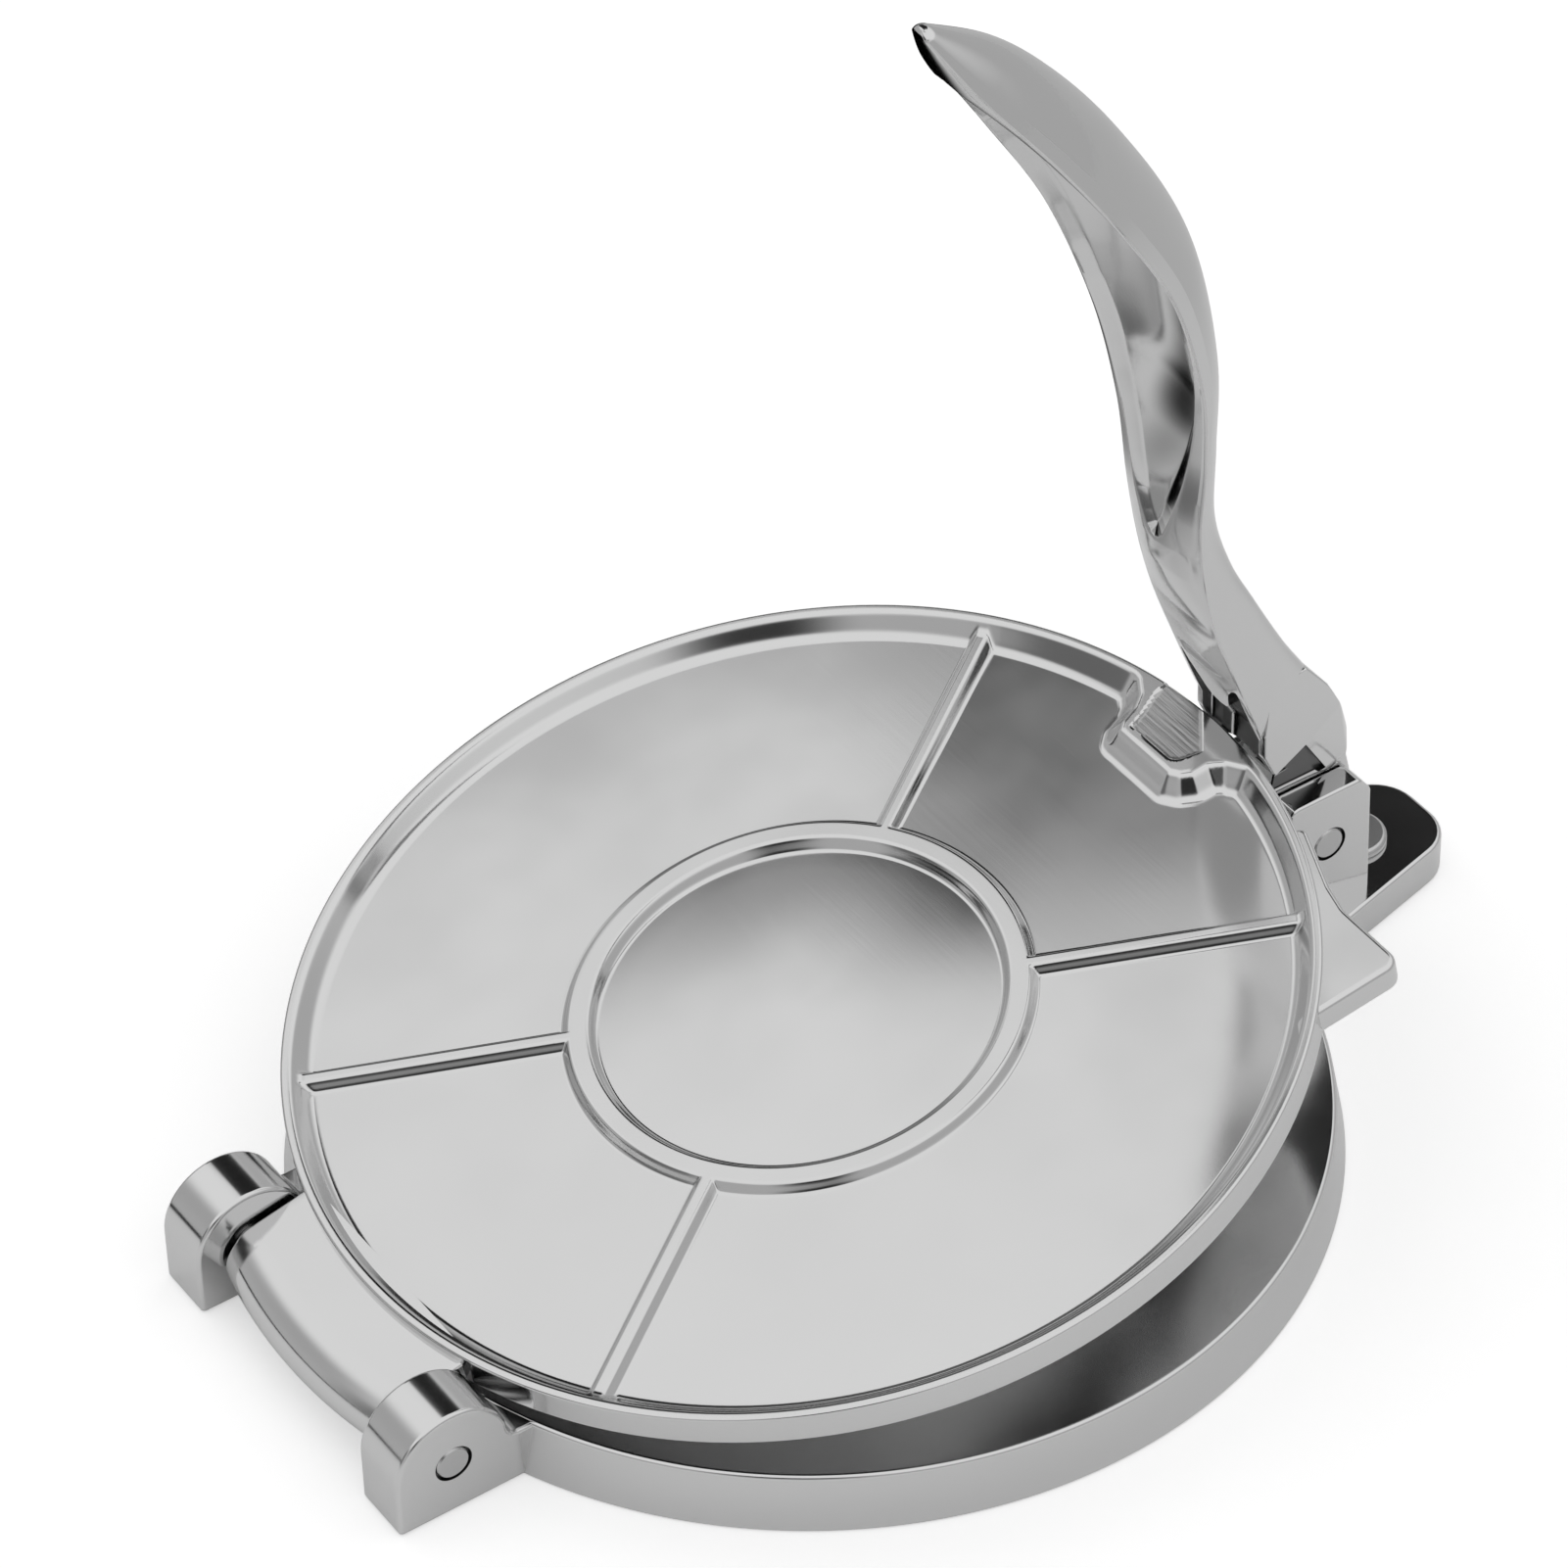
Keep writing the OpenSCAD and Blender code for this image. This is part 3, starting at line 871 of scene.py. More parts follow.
@dataclass
class BasePlate:
    """The lower casting: skirted disc with ribs below, two hinge ears, front tongue and clevis."""

    finishes: Finishes
    radius: float = 100.0
    top_z: float = 12.3
    web: float = 5.0
    skirt: float = 4.5
    draft: float = 2.45
    ear_in: float = 28.4
    ear_out: float = 41.3
    ear_r: float = 12.2
    ear_edge: float = 0.9
    spoke_count: int = 6
    spoke_t: float = 3.0
    spoke_z: tuple[float, float] = (1.5, 8.0)
    spoke_edge: float = 0.6
    hub_r: float = 14.0
    front_z: float = 9.0
    front_x: float = 149.5
    front_w0: float = 48.0
    front_w1: float = 21.0
    front_root: float = 93.0        # where the front tongue starts, inside the disc
    front_corners: tuple[float, float] = (9.6, 6.2)     # radii of its corners, and of its hollow's
    front_edge: float = 0.9
    front_wall: float = 3.5
    front_web: float = 4.5
    boss_r: float = 6.0
    bar_half: tuple[float, float] = (1.5, 26.0)
    clevis_gap: float = 13.0
    clevis_t: float = 6.0
    clevis_top: float = 38.0
    clevis_edge: float = 0.7
    bore_r: float = 3.56
    ring_r: float = 3.95
    ring_deep: float = 1.25
    stud_x: float = 131.5
    stud_r: float = 3.05

    @property
    def clevis_span(self) -> tuple[float, float]:
        """Where a clevis ear starts and ends, sideways."""
        return self.clevis_gap / 2, self.clevis_gap / 2 + self.clevis_t

    def build(self) -> bpy.types.Object:
        """Builds the casting and puts it on its body.

        Returns:
            The finished piece.
        """
        hinge, lever = joint("plate_stage")["pos_m"], joint("lever_swing")["pos_m"]
        self.hinge_x, self.hinge_z = hinge[0] / MM, hinge[2] / MM
        self.lever_x, self.lever_z = lever[0] / MM, lever[2] / MM
        body = self.disc()
        parts = [self.hub(), self.spokes(), self.front_tongue()]
        parts += [self.ear(side) for side in (1, -1)] + [self.clevis_ear(side) for side in (1, -1)]
        combine(body, parts, Solve.UNION)
        combine(body, self.bores(), Solve.CUT)
        body.name = "base_casting"
        self.dress(body)
        smooth(body)
        hand_over(body, "base", ["base_plate"])
        return body

    def disc(self) -> bpy.types.Object:
        """The disc with its skirt, hollow underneath."""
        foot = self.radius + self.draft
        inner = foot - self.skirt
        profile = rounded([(2.0, self.top_z - self.web, 0), (inner, self.top_z - self.web, 2.0),
                           (inner, 0, 0.5), (foot, 0, 0.5), (self.radius + 0.25, self.top_z, 1.0),
                           (2.0, self.top_z, 0)], steps=6, closed=False)
        return revolve("base_disc", profile, 320)

    def hub(self) -> bpy.types.Object:
        """The hub under the plate's centre, which stands on the table."""
        return prism("hub", circle(0, 0, self.hub_r, 72), 0, self.top_z - self.web + 1,
                     self.spoke_edge, Plane.XY)

    def spokes(self) -> bpy.types.Object:
        """The ribs under the plate: one bar, repeated round the hub by Geometry Nodes."""
        start, end = self.hub_r - 1, self.radius - 1
        low, high = self.spoke_z
        outline = np.array([(start, low), (end, low), (end, high), (start, high)])
        bar = prism("spoke", outline, -self.spoke_t / 2, self.spoke_t / 2, self.spoke_edge)
        return spread_round(bar, "spokes", self.spoke_count, self.finishes.as_cast)

    def ear(self, side: int) -> bpy.types.Object:
        """One hinge ear, with the arm that carries it.

        Args:
            side: 1 for the ear at +Y, -1 for the other.

        Returns:
            The ear's solid.
        """
        back = self.hinge_x - self.ear_r
        arc = [(self.hinge_x + self.ear_r * math.cos(math.radians(a)),
                self.hinge_z + self.ear_r * math.sin(math.radians(a)), 0.0) for a in range(180, 15, -6)]
        outline = rounded([(back, 0.0, 1.0), *arc, (self.hinge_x + self.ear_r, 12.1, 2.2), (-86.0, 12.1, 0),
                           (-86.0, 0.0, 0)], steps=5)
        low, high = sorted((side * self.ear_in, side * self.ear_out))
        return prism("hinge_ear", outline, low, high, self.ear_edge)

    def front_tongue(self) -> bpy.types.Object:
        """The tongue that carries the lever, hollow underneath."""
        solid = prism("front_tongue", self.tongue_outline(), 0, self.front_z, self.front_edge, Plane.XY)
        hollow = prism("tongue_hollow", self.tongue_outline(self.front_wall), -2,
                       self.front_z - self.front_web, 0.6, Plane.XY)
        boss = prism("stud_boss", circle(self.stud_x, 0, self.boss_r, 48), -3, self.front_z, 0, Plane.XY)
        thick, reach = self.bar_half
        x0, x1 = self.lever_x - thick, self.lever_x + thick
        across = np.array([(x0, -reach), (x1, -reach), (x1, reach), (x0, reach)])
        bar = prism("cross_bar", across, -3, self.front_z, 0, Plane.XY)
        combine(hollow, [boss, bar], Solve.CUT)
        combine(solid, [hollow], Solve.CUT)
        return solid

    def tongue_outline(self, wall: float = 0.0) -> np.ndarray:
        """Outline of the front tongue, or of the hollow inside its wall.

        Args:
            wall: The wall's thickness, or 0 for the tongue itself.

        Returns:
            The outline's points.
        """
        end = self.front_x - wall
        w0, w1 = self.front_w0 / 2 - wall, self.front_w1 / 2 - wall
        inner = self.radius + 1.5 if wall else self.front_root
        corner = self.front_corners[1 if wall else 0]
        return rounded([(inner, -w0, 0), (end, -w1, corner), (end, w1, corner), (inner, w0, 0)], steps=8)

    def clevis_ear(self, side: int) -> bpy.types.Object:
        """One ear of the clevis that holds the lever."""
        x0, x1 = self.lever_x - 9.9, self.lever_x + 10.1
        top = self.clevis_top
        outline = rounded([(x0, 6.0, 0), (x1 + 0.6, 6.0, 0), (x1, top - 3.6, 1.8), (x1 - 2.8, top, 1.8),
                           (x0, top, 2.0)], steps=5)
        low, high = sorted(side * y for y in self.clevis_span)
        return prism("clevis_ear", outline, low, high, self.clevis_edge)

    def bores(self) -> list[bpy.types.Object]:
        """Cutters for the pin holes, each with a countersunk mouth, and for the stud's hole."""
        cutters = []
        for x, z, (near, far) in ((self.hinge_x, self.hinge_z, (self.ear_in, self.ear_out)),
                                  (self.lever_x, self.lever_z, self.clevis_span)):
            bottom = far - self.ring_deep
            for side in (1, -1):
                stations = [(near - 1, self.bore_r), (bottom - 0.05, self.bore_r), (bottom, self.ring_r),
                            (far + 1, self.ring_r)]
                rings = [np.insert(circle(x, z, r, 48), 1, side * y, axis=1) for y, r in stations]
                cutters.append(loft("pin_bore", np.array(rings)))
        hole = circle(self.stud_x, 0, self.stud_r, 48)
        cutters.append(prism("stud_bore", hole, -1, self.front_z + 1, 0, Plane.XY))
        return cutters

    def dress(self, obj: bpy.types.Object) -> None:
        """Leaves the hollow underside as cast, paints shade into the pin bores and their countersunk rings,
        and polishes the rest.
        """
        obj.data.materials.clear()
        # the third finish is painted shade, put in the pin bores
        for finish in (self.finishes.polished, self.finishes.as_cast, self.finishes.painted_shade):
            obj.data.materials.append(finish)
        centres, normals = face_table(obj)
        r = np.hypot(centres[:, 0], centres[:, 1])
        below = centres[:, 2] < self.top_z - self.web + 0.2
        below &= r < self.radius + self.draft - self.skirt + 0.2
        down = (normals[:, 2] < -0.3) & (centres[:, 2] < self.front_z - 1)
        bored = np.zeros(len(r), dtype=bool)
        for x, z in ((self.hinge_x, self.hinge_z), (self.lever_x, self.lever_z)):
            bored |= np.hypot(centres[:, 0] - x, centres[:, 2] - z) < self.ring_r + 0.02
        across = np.abs(centres[:, 1])
        floors = np.zeros(len(r), dtype=bool)
        for far in (self.ear_out, self.clevis_span[1]):
            floors |= np.abs(across - far + self.ring_deep) < 0.1
        bored &= (np.abs(normals[:, 1]) < 0.7) | floors
        obj.data.polygons.foreach_set("material_index", np.where(bored, 2, below | down).astype(np.int32))


def spread_round(piece: bpy.types.Object, name: str, count: int,
                 material: bpy.types.Material) -> bpy.types.Object:
    """Repeats a piece evenly round the Z axis with Geometry Nodes.

    Args:
        piece: The piece, which is used up.
        name: The new object's name.
        count: How many there are.
        material: The finish that the tree sets.

    Returns:
        One plain mesh with all of them.
    """
    tree = bpy.data.node_groups.new(name, "GeometryNodeTree")
    faces = tree.interface
    faces.new_socket("Geometry", in_out="INPUT", socket_type="NodeSocketGeometry")
    number = faces.new_socket("Count", in_out="INPUT", socket_type="NodeSocketInt")
    finish = faces.new_socket("Finish", in_out="INPUT", socket_type="NodeSocketMaterial")
    faces.new_socket("Geometry", in_out="OUTPUT", socket_type="NodeSocketGeometry")
    given = add_node(tree, "NodeGroupInput")
    place = add_node(tree, "GeometryNodeMeshLine", {"Count": given.outputs["Count"], "Offset": (0, 0, 0)})
    share = add_math(tree, "DIVIDE", 2 * math.pi, given.outputs["Count"])
    turn = add_math(tree, "MULTIPLY", add_node(tree, "GeometryNodeInputIndex").outputs[0], share)
    angles = add_node(tree, "ShaderNodeCombineXYZ", {"Z": turn})
    copies = add_node(tree, "GeometryNodeInstanceOnPoints", {
        "Points": place.outputs["Mesh"], "Instance": given.outputs["Geometry"],
        "Rotation": angles.outputs[0]})
    real = add_node(tree, "GeometryNodeRealizeInstances", {"Geometry": copies.outputs["Instances"]})
    dressed = add_node(tree, "GeometryNodeSetMaterial", {
        "Geometry": real.outputs["Geometry"], "Material": given.outputs["Finish"]})
    add_node(tree, "NodeGroupOutput", {"Geometry": dressed.outputs["Geometry"]})
    step = piece.modifiers.new("spread", "NODES")
    step.node_group = tree
    step[number.identifier] = count
    step[finish.identifier] = material
    return settled(piece, name)


# ---------------------------------------------------------------- lever


@dataclass
class Lever:
    """The lever: a shell grip, its neck, a shoulder in flat facets, and the slab on the pin."""

    finishes: Finishes
    # front edge x and z, full width, depth behind the front, squareness of the back,
    # and how far back the side ridge lies
    stations: tuple[tuple[float, ...], ...] = (
        (100.6, 55.0, 18.0, 15.0, 1.0, 0.0),
        (98.0, 61.0, 20.7, 16.0, 1.0, 0.0),
        (92.5, 75.0, 20.7, 13.4, 1.0, 0.0),
        (86.7, 91.0, 20.8, 11.0, 1.0, 0.0),
        (83.2, 105.0, 21.5, 8.3, 0.9, 0.0),
        (81.2, 120.0, 23.5, 7.0, 0.6, 0.0),
        (80.2, 138.0, 28.0, 8.0, 0.3, 0.5),
        (76.5, 159.0, 34.0, 11.0, 0.1, 1.9),
        (67.5, 184.0, 39.5, 14.0, 0.0, 2.4),
        (54.5, 206.0, 41.0, 14.5, 0.0, 2.6),
        (43.0, 223.0, 34.0, 13.0, 0.0, 2.4),
        (33.0, 236.5, 20.0, 9.5, 0.0, 1.8),
        (25.5, 249.0, 4.0, 2.2, 0.0, 0.4))
    # the hollow's mouth: height, and half its width
    mouth: tuple[tuple[float, float], ...] = (
        (112.0, 0.0), (112.5, 1.5), (113.8, 2.8), (116.5, 4.2), (121.0, 5.9), (129.0, 8.1), (137.0, 10.1),
        (145.0, 12.1), (154.0, 14.0), (164.0, 16.2), (173.0, 17.7), (183.0, 18.8), (191.0, 19.4),
        (200.0, 19.6), (208.0, 19.2), (216.0, 17.2), (223.0, 14.6), (229.0, 11.2), (233.0, 7.8),
        (235.5, 4.8), (237.0, 2.0), (237.5, 0.0))
    # the front's crown: height, and how far it stands out in the middle
    crown: tuple[tuple[float, float], ...] = (
        (83.0, 0.0), (91.0, 0.3), (98.0, 1.3), (105.0, 2.2), (112.0, 2.6), (150.0, 2.6), (184.0, 1.0),
        (206.0, 0.6), (223.0, 1.0), (236.0, 1.6), (244.0, 0.8), (249.0, 0.2))
    edge: float = 0.6
    cap: float = 0.14               # share of the last span over which the tip rounds off
    # the sloping wall round the hollow is gentle low down and steep higher up
    wall_span: tuple[float, float] = (122.0, 160.0)
    wall_slopes: tuple[float, float] = (0.36, 1.05)
    walls: tuple[float, float] = (1.3, 2.0)
    wall_rounds: tuple[float, float] = (0.25, 0.3)      # rounding of the wall's top and of its foot
    bowl_rise: tuple[float, float] = (42.0, 26.0)       # over which the hollow deepens at its two ends
    shell: float = 3.2
    thumb: float = 0.6              # how far the lowest part of the neck's front stands out
    thumb_top: float = 75.5
    thumb_rise: float = 1.4         # height over which it comes out
    thumb_share: float = 0.72       # share of the neck's width that it spans
    # lower edge of the thumb, as sideways distance and height
    thumb_edge: tuple[tuple[float, float], ...] = (
        (0.0, 62.4), (2.2, 62.9), (3.5, 64.4), (4.4, 66.8), (5.6, 69.4), (7.4, 71.8), (8.9, 72.6))
    gap_back: float = 102.0
    # outline of the undercut over the clevis, and the distances sideways that it spans
    undercut: tuple[tuple[float, float], ...] = ((101.7, 47.9), (109.6, 52.6), (118.2, 39.6), (105.0, 39.6))
    undercut_y: tuple[float, float] = (5.95, 13.0)
    knuckle_r: float = 12.5
    knuckle_w: float = 12.4
    knuckle_edge: float = 0.7
    bore_r: float = 3.6
    neck_w: float = 21.0
    crease: float = 21.0            # low, so that the shoulder's ground facets stay flat
    # corners of the shoulder's facets, as x and z: at the cheeks, the neck and the slab
    cheek_at: tuple[tuple[float, float], ...] = (
        (99.3, 59.4), (99.4, 54.1), (102.0, 48.4), (109.5, 52.6), (117.9, 59.0), (114.6, 65.4),
        (102.0, 59.2))
    neck_at: tuple[tuple[float, float], ...] = ((100.0, 61.8), (109.8, 71.5), (101.0, 71.0))
    slab_at: tuple[tuple[float, float], ...] = (
        (105.6, 45.5), (119.6, 37.5), (124.0, 40.0), (123.6, 47.0), (121.3, 54.0))
    cheek_out: float = 0.35         # how far the cheeks stand out past the neck's side
    neck_in: float = 0.3            # how far the neck's corners lie inside it

    def build(self) -> bpy.types.Object:
        """Builds the casting and puts it on its body.

        Returns:
            The finished piece.
        """
        place = joint("lever_press")["pos_m"]
        self.x, self.z = place[0] / MM, place[2] / MM
        body = self.grip_and_neck()
        combine(body, [self.shoulder(), self.knuckle(), self.slab()], Solve.UNION)
        bore = prism("bore", circle(self.x, self.z, self.bore_r), -20, 20, 0)
        combine(body, [self.recess(), self.gap(), *self.undercuts(), bore], Solve.CUT)
        body.name = "lever_casting"
        self.dress(body)
        smooth(body, self.crease)
        hand_over(body, "lever", ["lever"])
        return body

    def at(self, u: float) -> np.ndarray:
        """The stations' values at parameter u, on a smooth curve through them."""
        rows = np.array(self.stations)
        last = len(rows) - 1
        i = min(int(u), last - 1)
        t = u - i
        a, b, c, d = (rows[min(max(k, 0), last)] for k in (i - 1, i, i + 1, i + 2))
        return b + 0.5 * t * ((c - a) + t * ((2 * a - 5 * b + 4 * c - d) + t * (3 * (b - c) + d - a)))

    def section(self, u: float) -> np.ndarray:
        """One closed ring of points: round the back, then across the front and its hollow.

        Args:
            u: Parameter along the stations.

        Returns:
            The ring's points.
        """
        last = len(self.stations) - 1
        x, z, width, depth, square, ridge = self.at(u)
        ahead, behind = self.at(min(last, u + 0.05)), self.at(max(0.0, u - 0.05))
        along = np.array([ahead[0] - behind[0], ahead[1] - behind[1]])
        along /= np.linalg.norm(along)
        nx, nz = along[1], -along[0]
        cap = math.sqrt(max(0.03, 1 - max(0.0, (u - last + self.cap) / self.cap) ** 2))
        half, middle = width / 2 * cap, depth / 2
        edge = min(self.edge, 0.2 * depth)
        back_y, back_q = self.back(half, depth, float(np.clip(square, 0, 1)), max(0.0, ridge))
        back_q = edge + back_q * (depth - edge) / depth
        turn = np.radians([0.0, 22.5, 45.0, 67.5])
        edge_y, edge_q = half - edge * (1 - np.sin(turn)), edge * (1 - np.cos(turn))
        front_y = self.across(z, half - edge)
        front_q = self.front(z, front_y, half, depth)
        y = np.concatenate([edge_y, back_y, -edge_y[::-1], front_y])
        q = np.concatenate([edge_q, back_q, edge_q[::-1], front_q])
        q = middle + (q - middle) * cap
        return np.stack([x + nx * q, y, z + nz * q], axis=1)

    def across(self, z: float, reach: float) -> np.ndarray:
        """Where a section's front is sampled: closely on both sides of the hollow's edge.

        Args:
            z: The section's height.
            reach: Half the width of the front.

        Returns:
            Distances sideways, from one side to the other.
        """
        heights, halves = zip(*self.mouth)
        mouth = float(np.interp(z, heights, halves, 0.0, 0.0))
        outer = min(mouth + 0.5, 0.5 * (mouth + reach))
        inner = max(0.55 * mouth, mouth - 5.0)
        right = np.concatenate([np.linspace(0, inner, 12), np.linspace(inner, outer, 24)[1:],
                                np.linspace(outer, reach, 9)[1:-1]])
        return np.concatenate([-right[:0:-1], right])

    @staticmethod
    def back(half: float, depth: float, square: float, ridge: float) -> tuple[np.ndarray, np.ndarray]:
        """The back of a section: between a round arc above a side ridge, and a box with round corners.

        Args:
            half: Half the section's width.
            depth: Its depth.
            square: 0 for the arc, 1 for the box.
            ridge: How far back the side ridge lies.

        Returns:
            Distances sideways, and backwards from the front.
        """
        turn = np.linspace(0, math.pi, 61)
        boxy = 1 - 0.78 * square
        box_y = half * np.sign(np.cos(turn)) * np.abs(np.cos(turn)) ** boxy
        box_q = depth * np.sin(turn) ** boxy
        rise = max(depth - ridge, 0.2)
        arc_r = (half * half + rise * rise) / (2 * rise)
        spread = math.atan2(half, arc_r - rise)
        swing = np.linspace(spread, -spread, 61)
        arc_y, arc_q = arc_r * np.sin(swing), depth - arc_r + arc_r * np.cos(swing)
        return arc_y + (box_y - arc_y) * square, arc_q + (box_q - arc_q) * square

    def front(self, z: float, y: np.ndarray, half: float, depth: float) -> np.ndarray:
        """How far the front of a section lies behind its edges: a low crown, and the hollow in it.

        Args:
            z: The section's height.
            y: Distances sideways.
            half: Half the section's width.
            depth: The section's depth.

        Returns:
            Depth of each point.
        """
        heights, crowns = zip(*self.crown)
        crown = float(np.interp(z, heights, crowns))
        out = -crown * (1 - (y / half) ** 2)
        thumb = self.thumb * min(1.0, max(0.0, (self.thumb_top - z) / self.thumb_rise))
        out = out - thumb / (1 + np.exp((np.abs(y) - self.thumb_share * half) / 0.6))
        mouth = self.mouth_outline()
        inside = -outside(y, np.full(y.shape, z), mouth)
        steep = float(np.interp(z, self.wall_span, self.wall_slopes))
        depth_here = float(np.interp(z, self.wall_span, self.walls))
        wall = least(most(steep * inside, 0.0, self.wall_rounds[0]), depth_here, self.wall_rounds[1])
        levels, halves = zip(*self.mouth)
        start, end = self.bowl_rise
        rise = min(1.0, max(0.0, (z - levels[0]) / start)) * min(1.0, max(0.0, (levels[-1] - z) / end))
        share = rise * rise * (3 - 2 * rise)
        reach = float(np.interp(z, levels, halves)) + 0.01
        room = max(0.0, depth - self.shell - depth_here) * share
        bowl = room * np.clip(1 - (y / reach) ** 2, 0, 1)
        return out + wall + np.where(inside > 0, bowl, 0.0)

    def mouth_outline(self) -> np.ndarray:
        """The hollow's edge, as sideways distance and height."""
        right = [(half, z) for z, half in self.mouth]
        return np.array(right + [(-y, z) for y, z in reversed(right[1:-1])])

    def grip_and_neck(self) -> bpy.types.Object:
        """The long part, from above the shoulder to the tip, with more rings at the hollow's two ends."""
        last = len(self.stations) - 1
        tip = last - self.cap * (1 - np.sin(np.linspace(0, math.pi / 2, 8)))
        places = np.concatenate([np.linspace(0, last, last * 22 + 1), np.linspace(4.4, 5.2, 50),
                                 np.linspace(10.45, 11.15, 36), tip])
        rings = np.array([self.section(u) for u in np.unique(np.round(places, 4))])
        return loft("grip", rings)

    def shoulder(self) -> bpy.types.Object:
        """The neck's wide end, which narrows in flat facets to the slab."""
        work = bmesh.new()
        for half, corners in ((self.neck_w / 2 + self.cheek_out, self.cheek_at),
                              (self.neck_w / 2 - self.neck_in, self.neck_at),
                              (self.knuckle_w / 2, self.slab_at)):
            for side in (1, -1):
                for x, z in corners:
                    work.verts.new([c * MM for c in (x, side * half, z)])
        hull = bmesh.ops.convex_hull(work, input=work.verts)
        spare = list(set(hull["geom_interior"]) | set(hull["geom_unused"]))
        bmesh.ops.delete(work, geom=spare, context="VERTS")
        bmesh.ops.dissolve_limit(work, angle_limit=0.01, verts=work.verts, edges=work.edges)
        mesh = bpy.data.meshes.new("shoulder")
        work.to_mesh(mesh)
        work.free()
        obj = bpy.data.objects.new("shoulder", mesh)
        bpy.context.collection.objects.link(obj)
        soft = obj.modifiers.new("edges", "BEVEL")
        soft.width, soft.segments = 0.5 * MM, 3
        soft.limit_method, soft.angle_limit = "ANGLE", math.radians(9)
        return settled(obj)

    def knuckle(self) -> bpy.types.Object:
        """The round end of the slab, about the pin."""
        half = self.knuckle_w / 2
        outline = circle(self.x, self.z, self.knuckle_r, 96)
        return prism("knuckle", outline, -half, half, self.knuckle_edge)

    def slab(self) -> bpy.types.Object:
        """The slab between the clevis ears, up into the shoulder."""
        half = self.knuckle_w / 2
        outline = rounded([(self.x - 11.6, self.z + 4.5, 0), (self.x - 10.6, self.z + 12, 4),
                           (self.x - 9.4, self.z + 18, 0), (self.x + 4, self.z + 20, 0),
                           (self.x + 8.4, self.z + 16, 4), (self.x + 10.6, self.z + 6.5, 0)])
        return prism("slab", outline, -half + 0.01, half - 0.01, self.knuckle_edge)

    def recess(self) -> bpy.types.Object:
        """Cutter for the hollow under the nose, between the cheeks."""
        half = self.undercut_y[0] - 0.25
        x = self.x - 10.3
        outline = rounded([(90, 42, 0), (x, 42, 0), (x, 52, 1.5), (101.5, 58.5, 1), (98.6, 59.6, 0.5),
                           (90, 59.6, 0)])
        return prism("recess", outline, -half, half, 1.0)

    def gap(self) -> bpy.types.Object:
        """Cutter for the gap round the thumb, between it and the cheeks."""
        right = [(y, z, 1.5) for y, z in self.thumb_edge]
        half = self.thumb_edge[-1][0]
        outline = rounded([(-half, 50.0, 0.0), (half, 50.0, 0.0), *reversed(right),
                           *[(-y, z, r) for y, z, r in right[1:]]], steps=4)
        return prism("gap", outline, 80.0, self.gap_back, 0.6, Plane.YZ)

    def undercuts(self) -> list[bpy.types.Object]:
        """Cutters for the undercut on each side, between the cheek and the slab."""
        inner, outer = self.undercut_y
        outline = np.array(self.undercut)
        return [prism("undercut", outline, *sorted((side * inner, side * outer)), 0) for side in (1, -1)]

    def dress(self, obj: bpy.types.Object) -> None:
        """Polishes the lever, and paints shade into the undercuts over the clevis and the gap round the
        thumb.
        """
        obj.data.materials.clear()
        obj.data.materials.append(self.finishes.polished)
        # painted shade, for the undercuts and the gap round the thumb
        obj.data.materials.append(self.finishes.painted_shade)
        centres, normals = face_table(obj)
        x, y, z = centres.T
        inner = self.undercut_y[0]
        under = outside(x, z, np.array(self.undercut)) < 0.02
        under &= (np.abs(np.abs(y) - inner) < 0.05) | ((np.abs(normals[:, 1]) < 0.5) & (np.abs(y) > inner))
        pocket = (np.abs(y) < self.thumb_edge[-1][0] + 0.02) & (z < self.thumb_edge[-1][1]) & (z > 42.0)
        pocket &= (x > 97.0) & (x < self.x - 10.2) & (np.abs(normals[:, 1]) < 0.6)
        obj.data.polygons.foreach_set("material_index", (under | pocket).astype(np.int32))


# ---------------------------------------------------------------- pins and stud


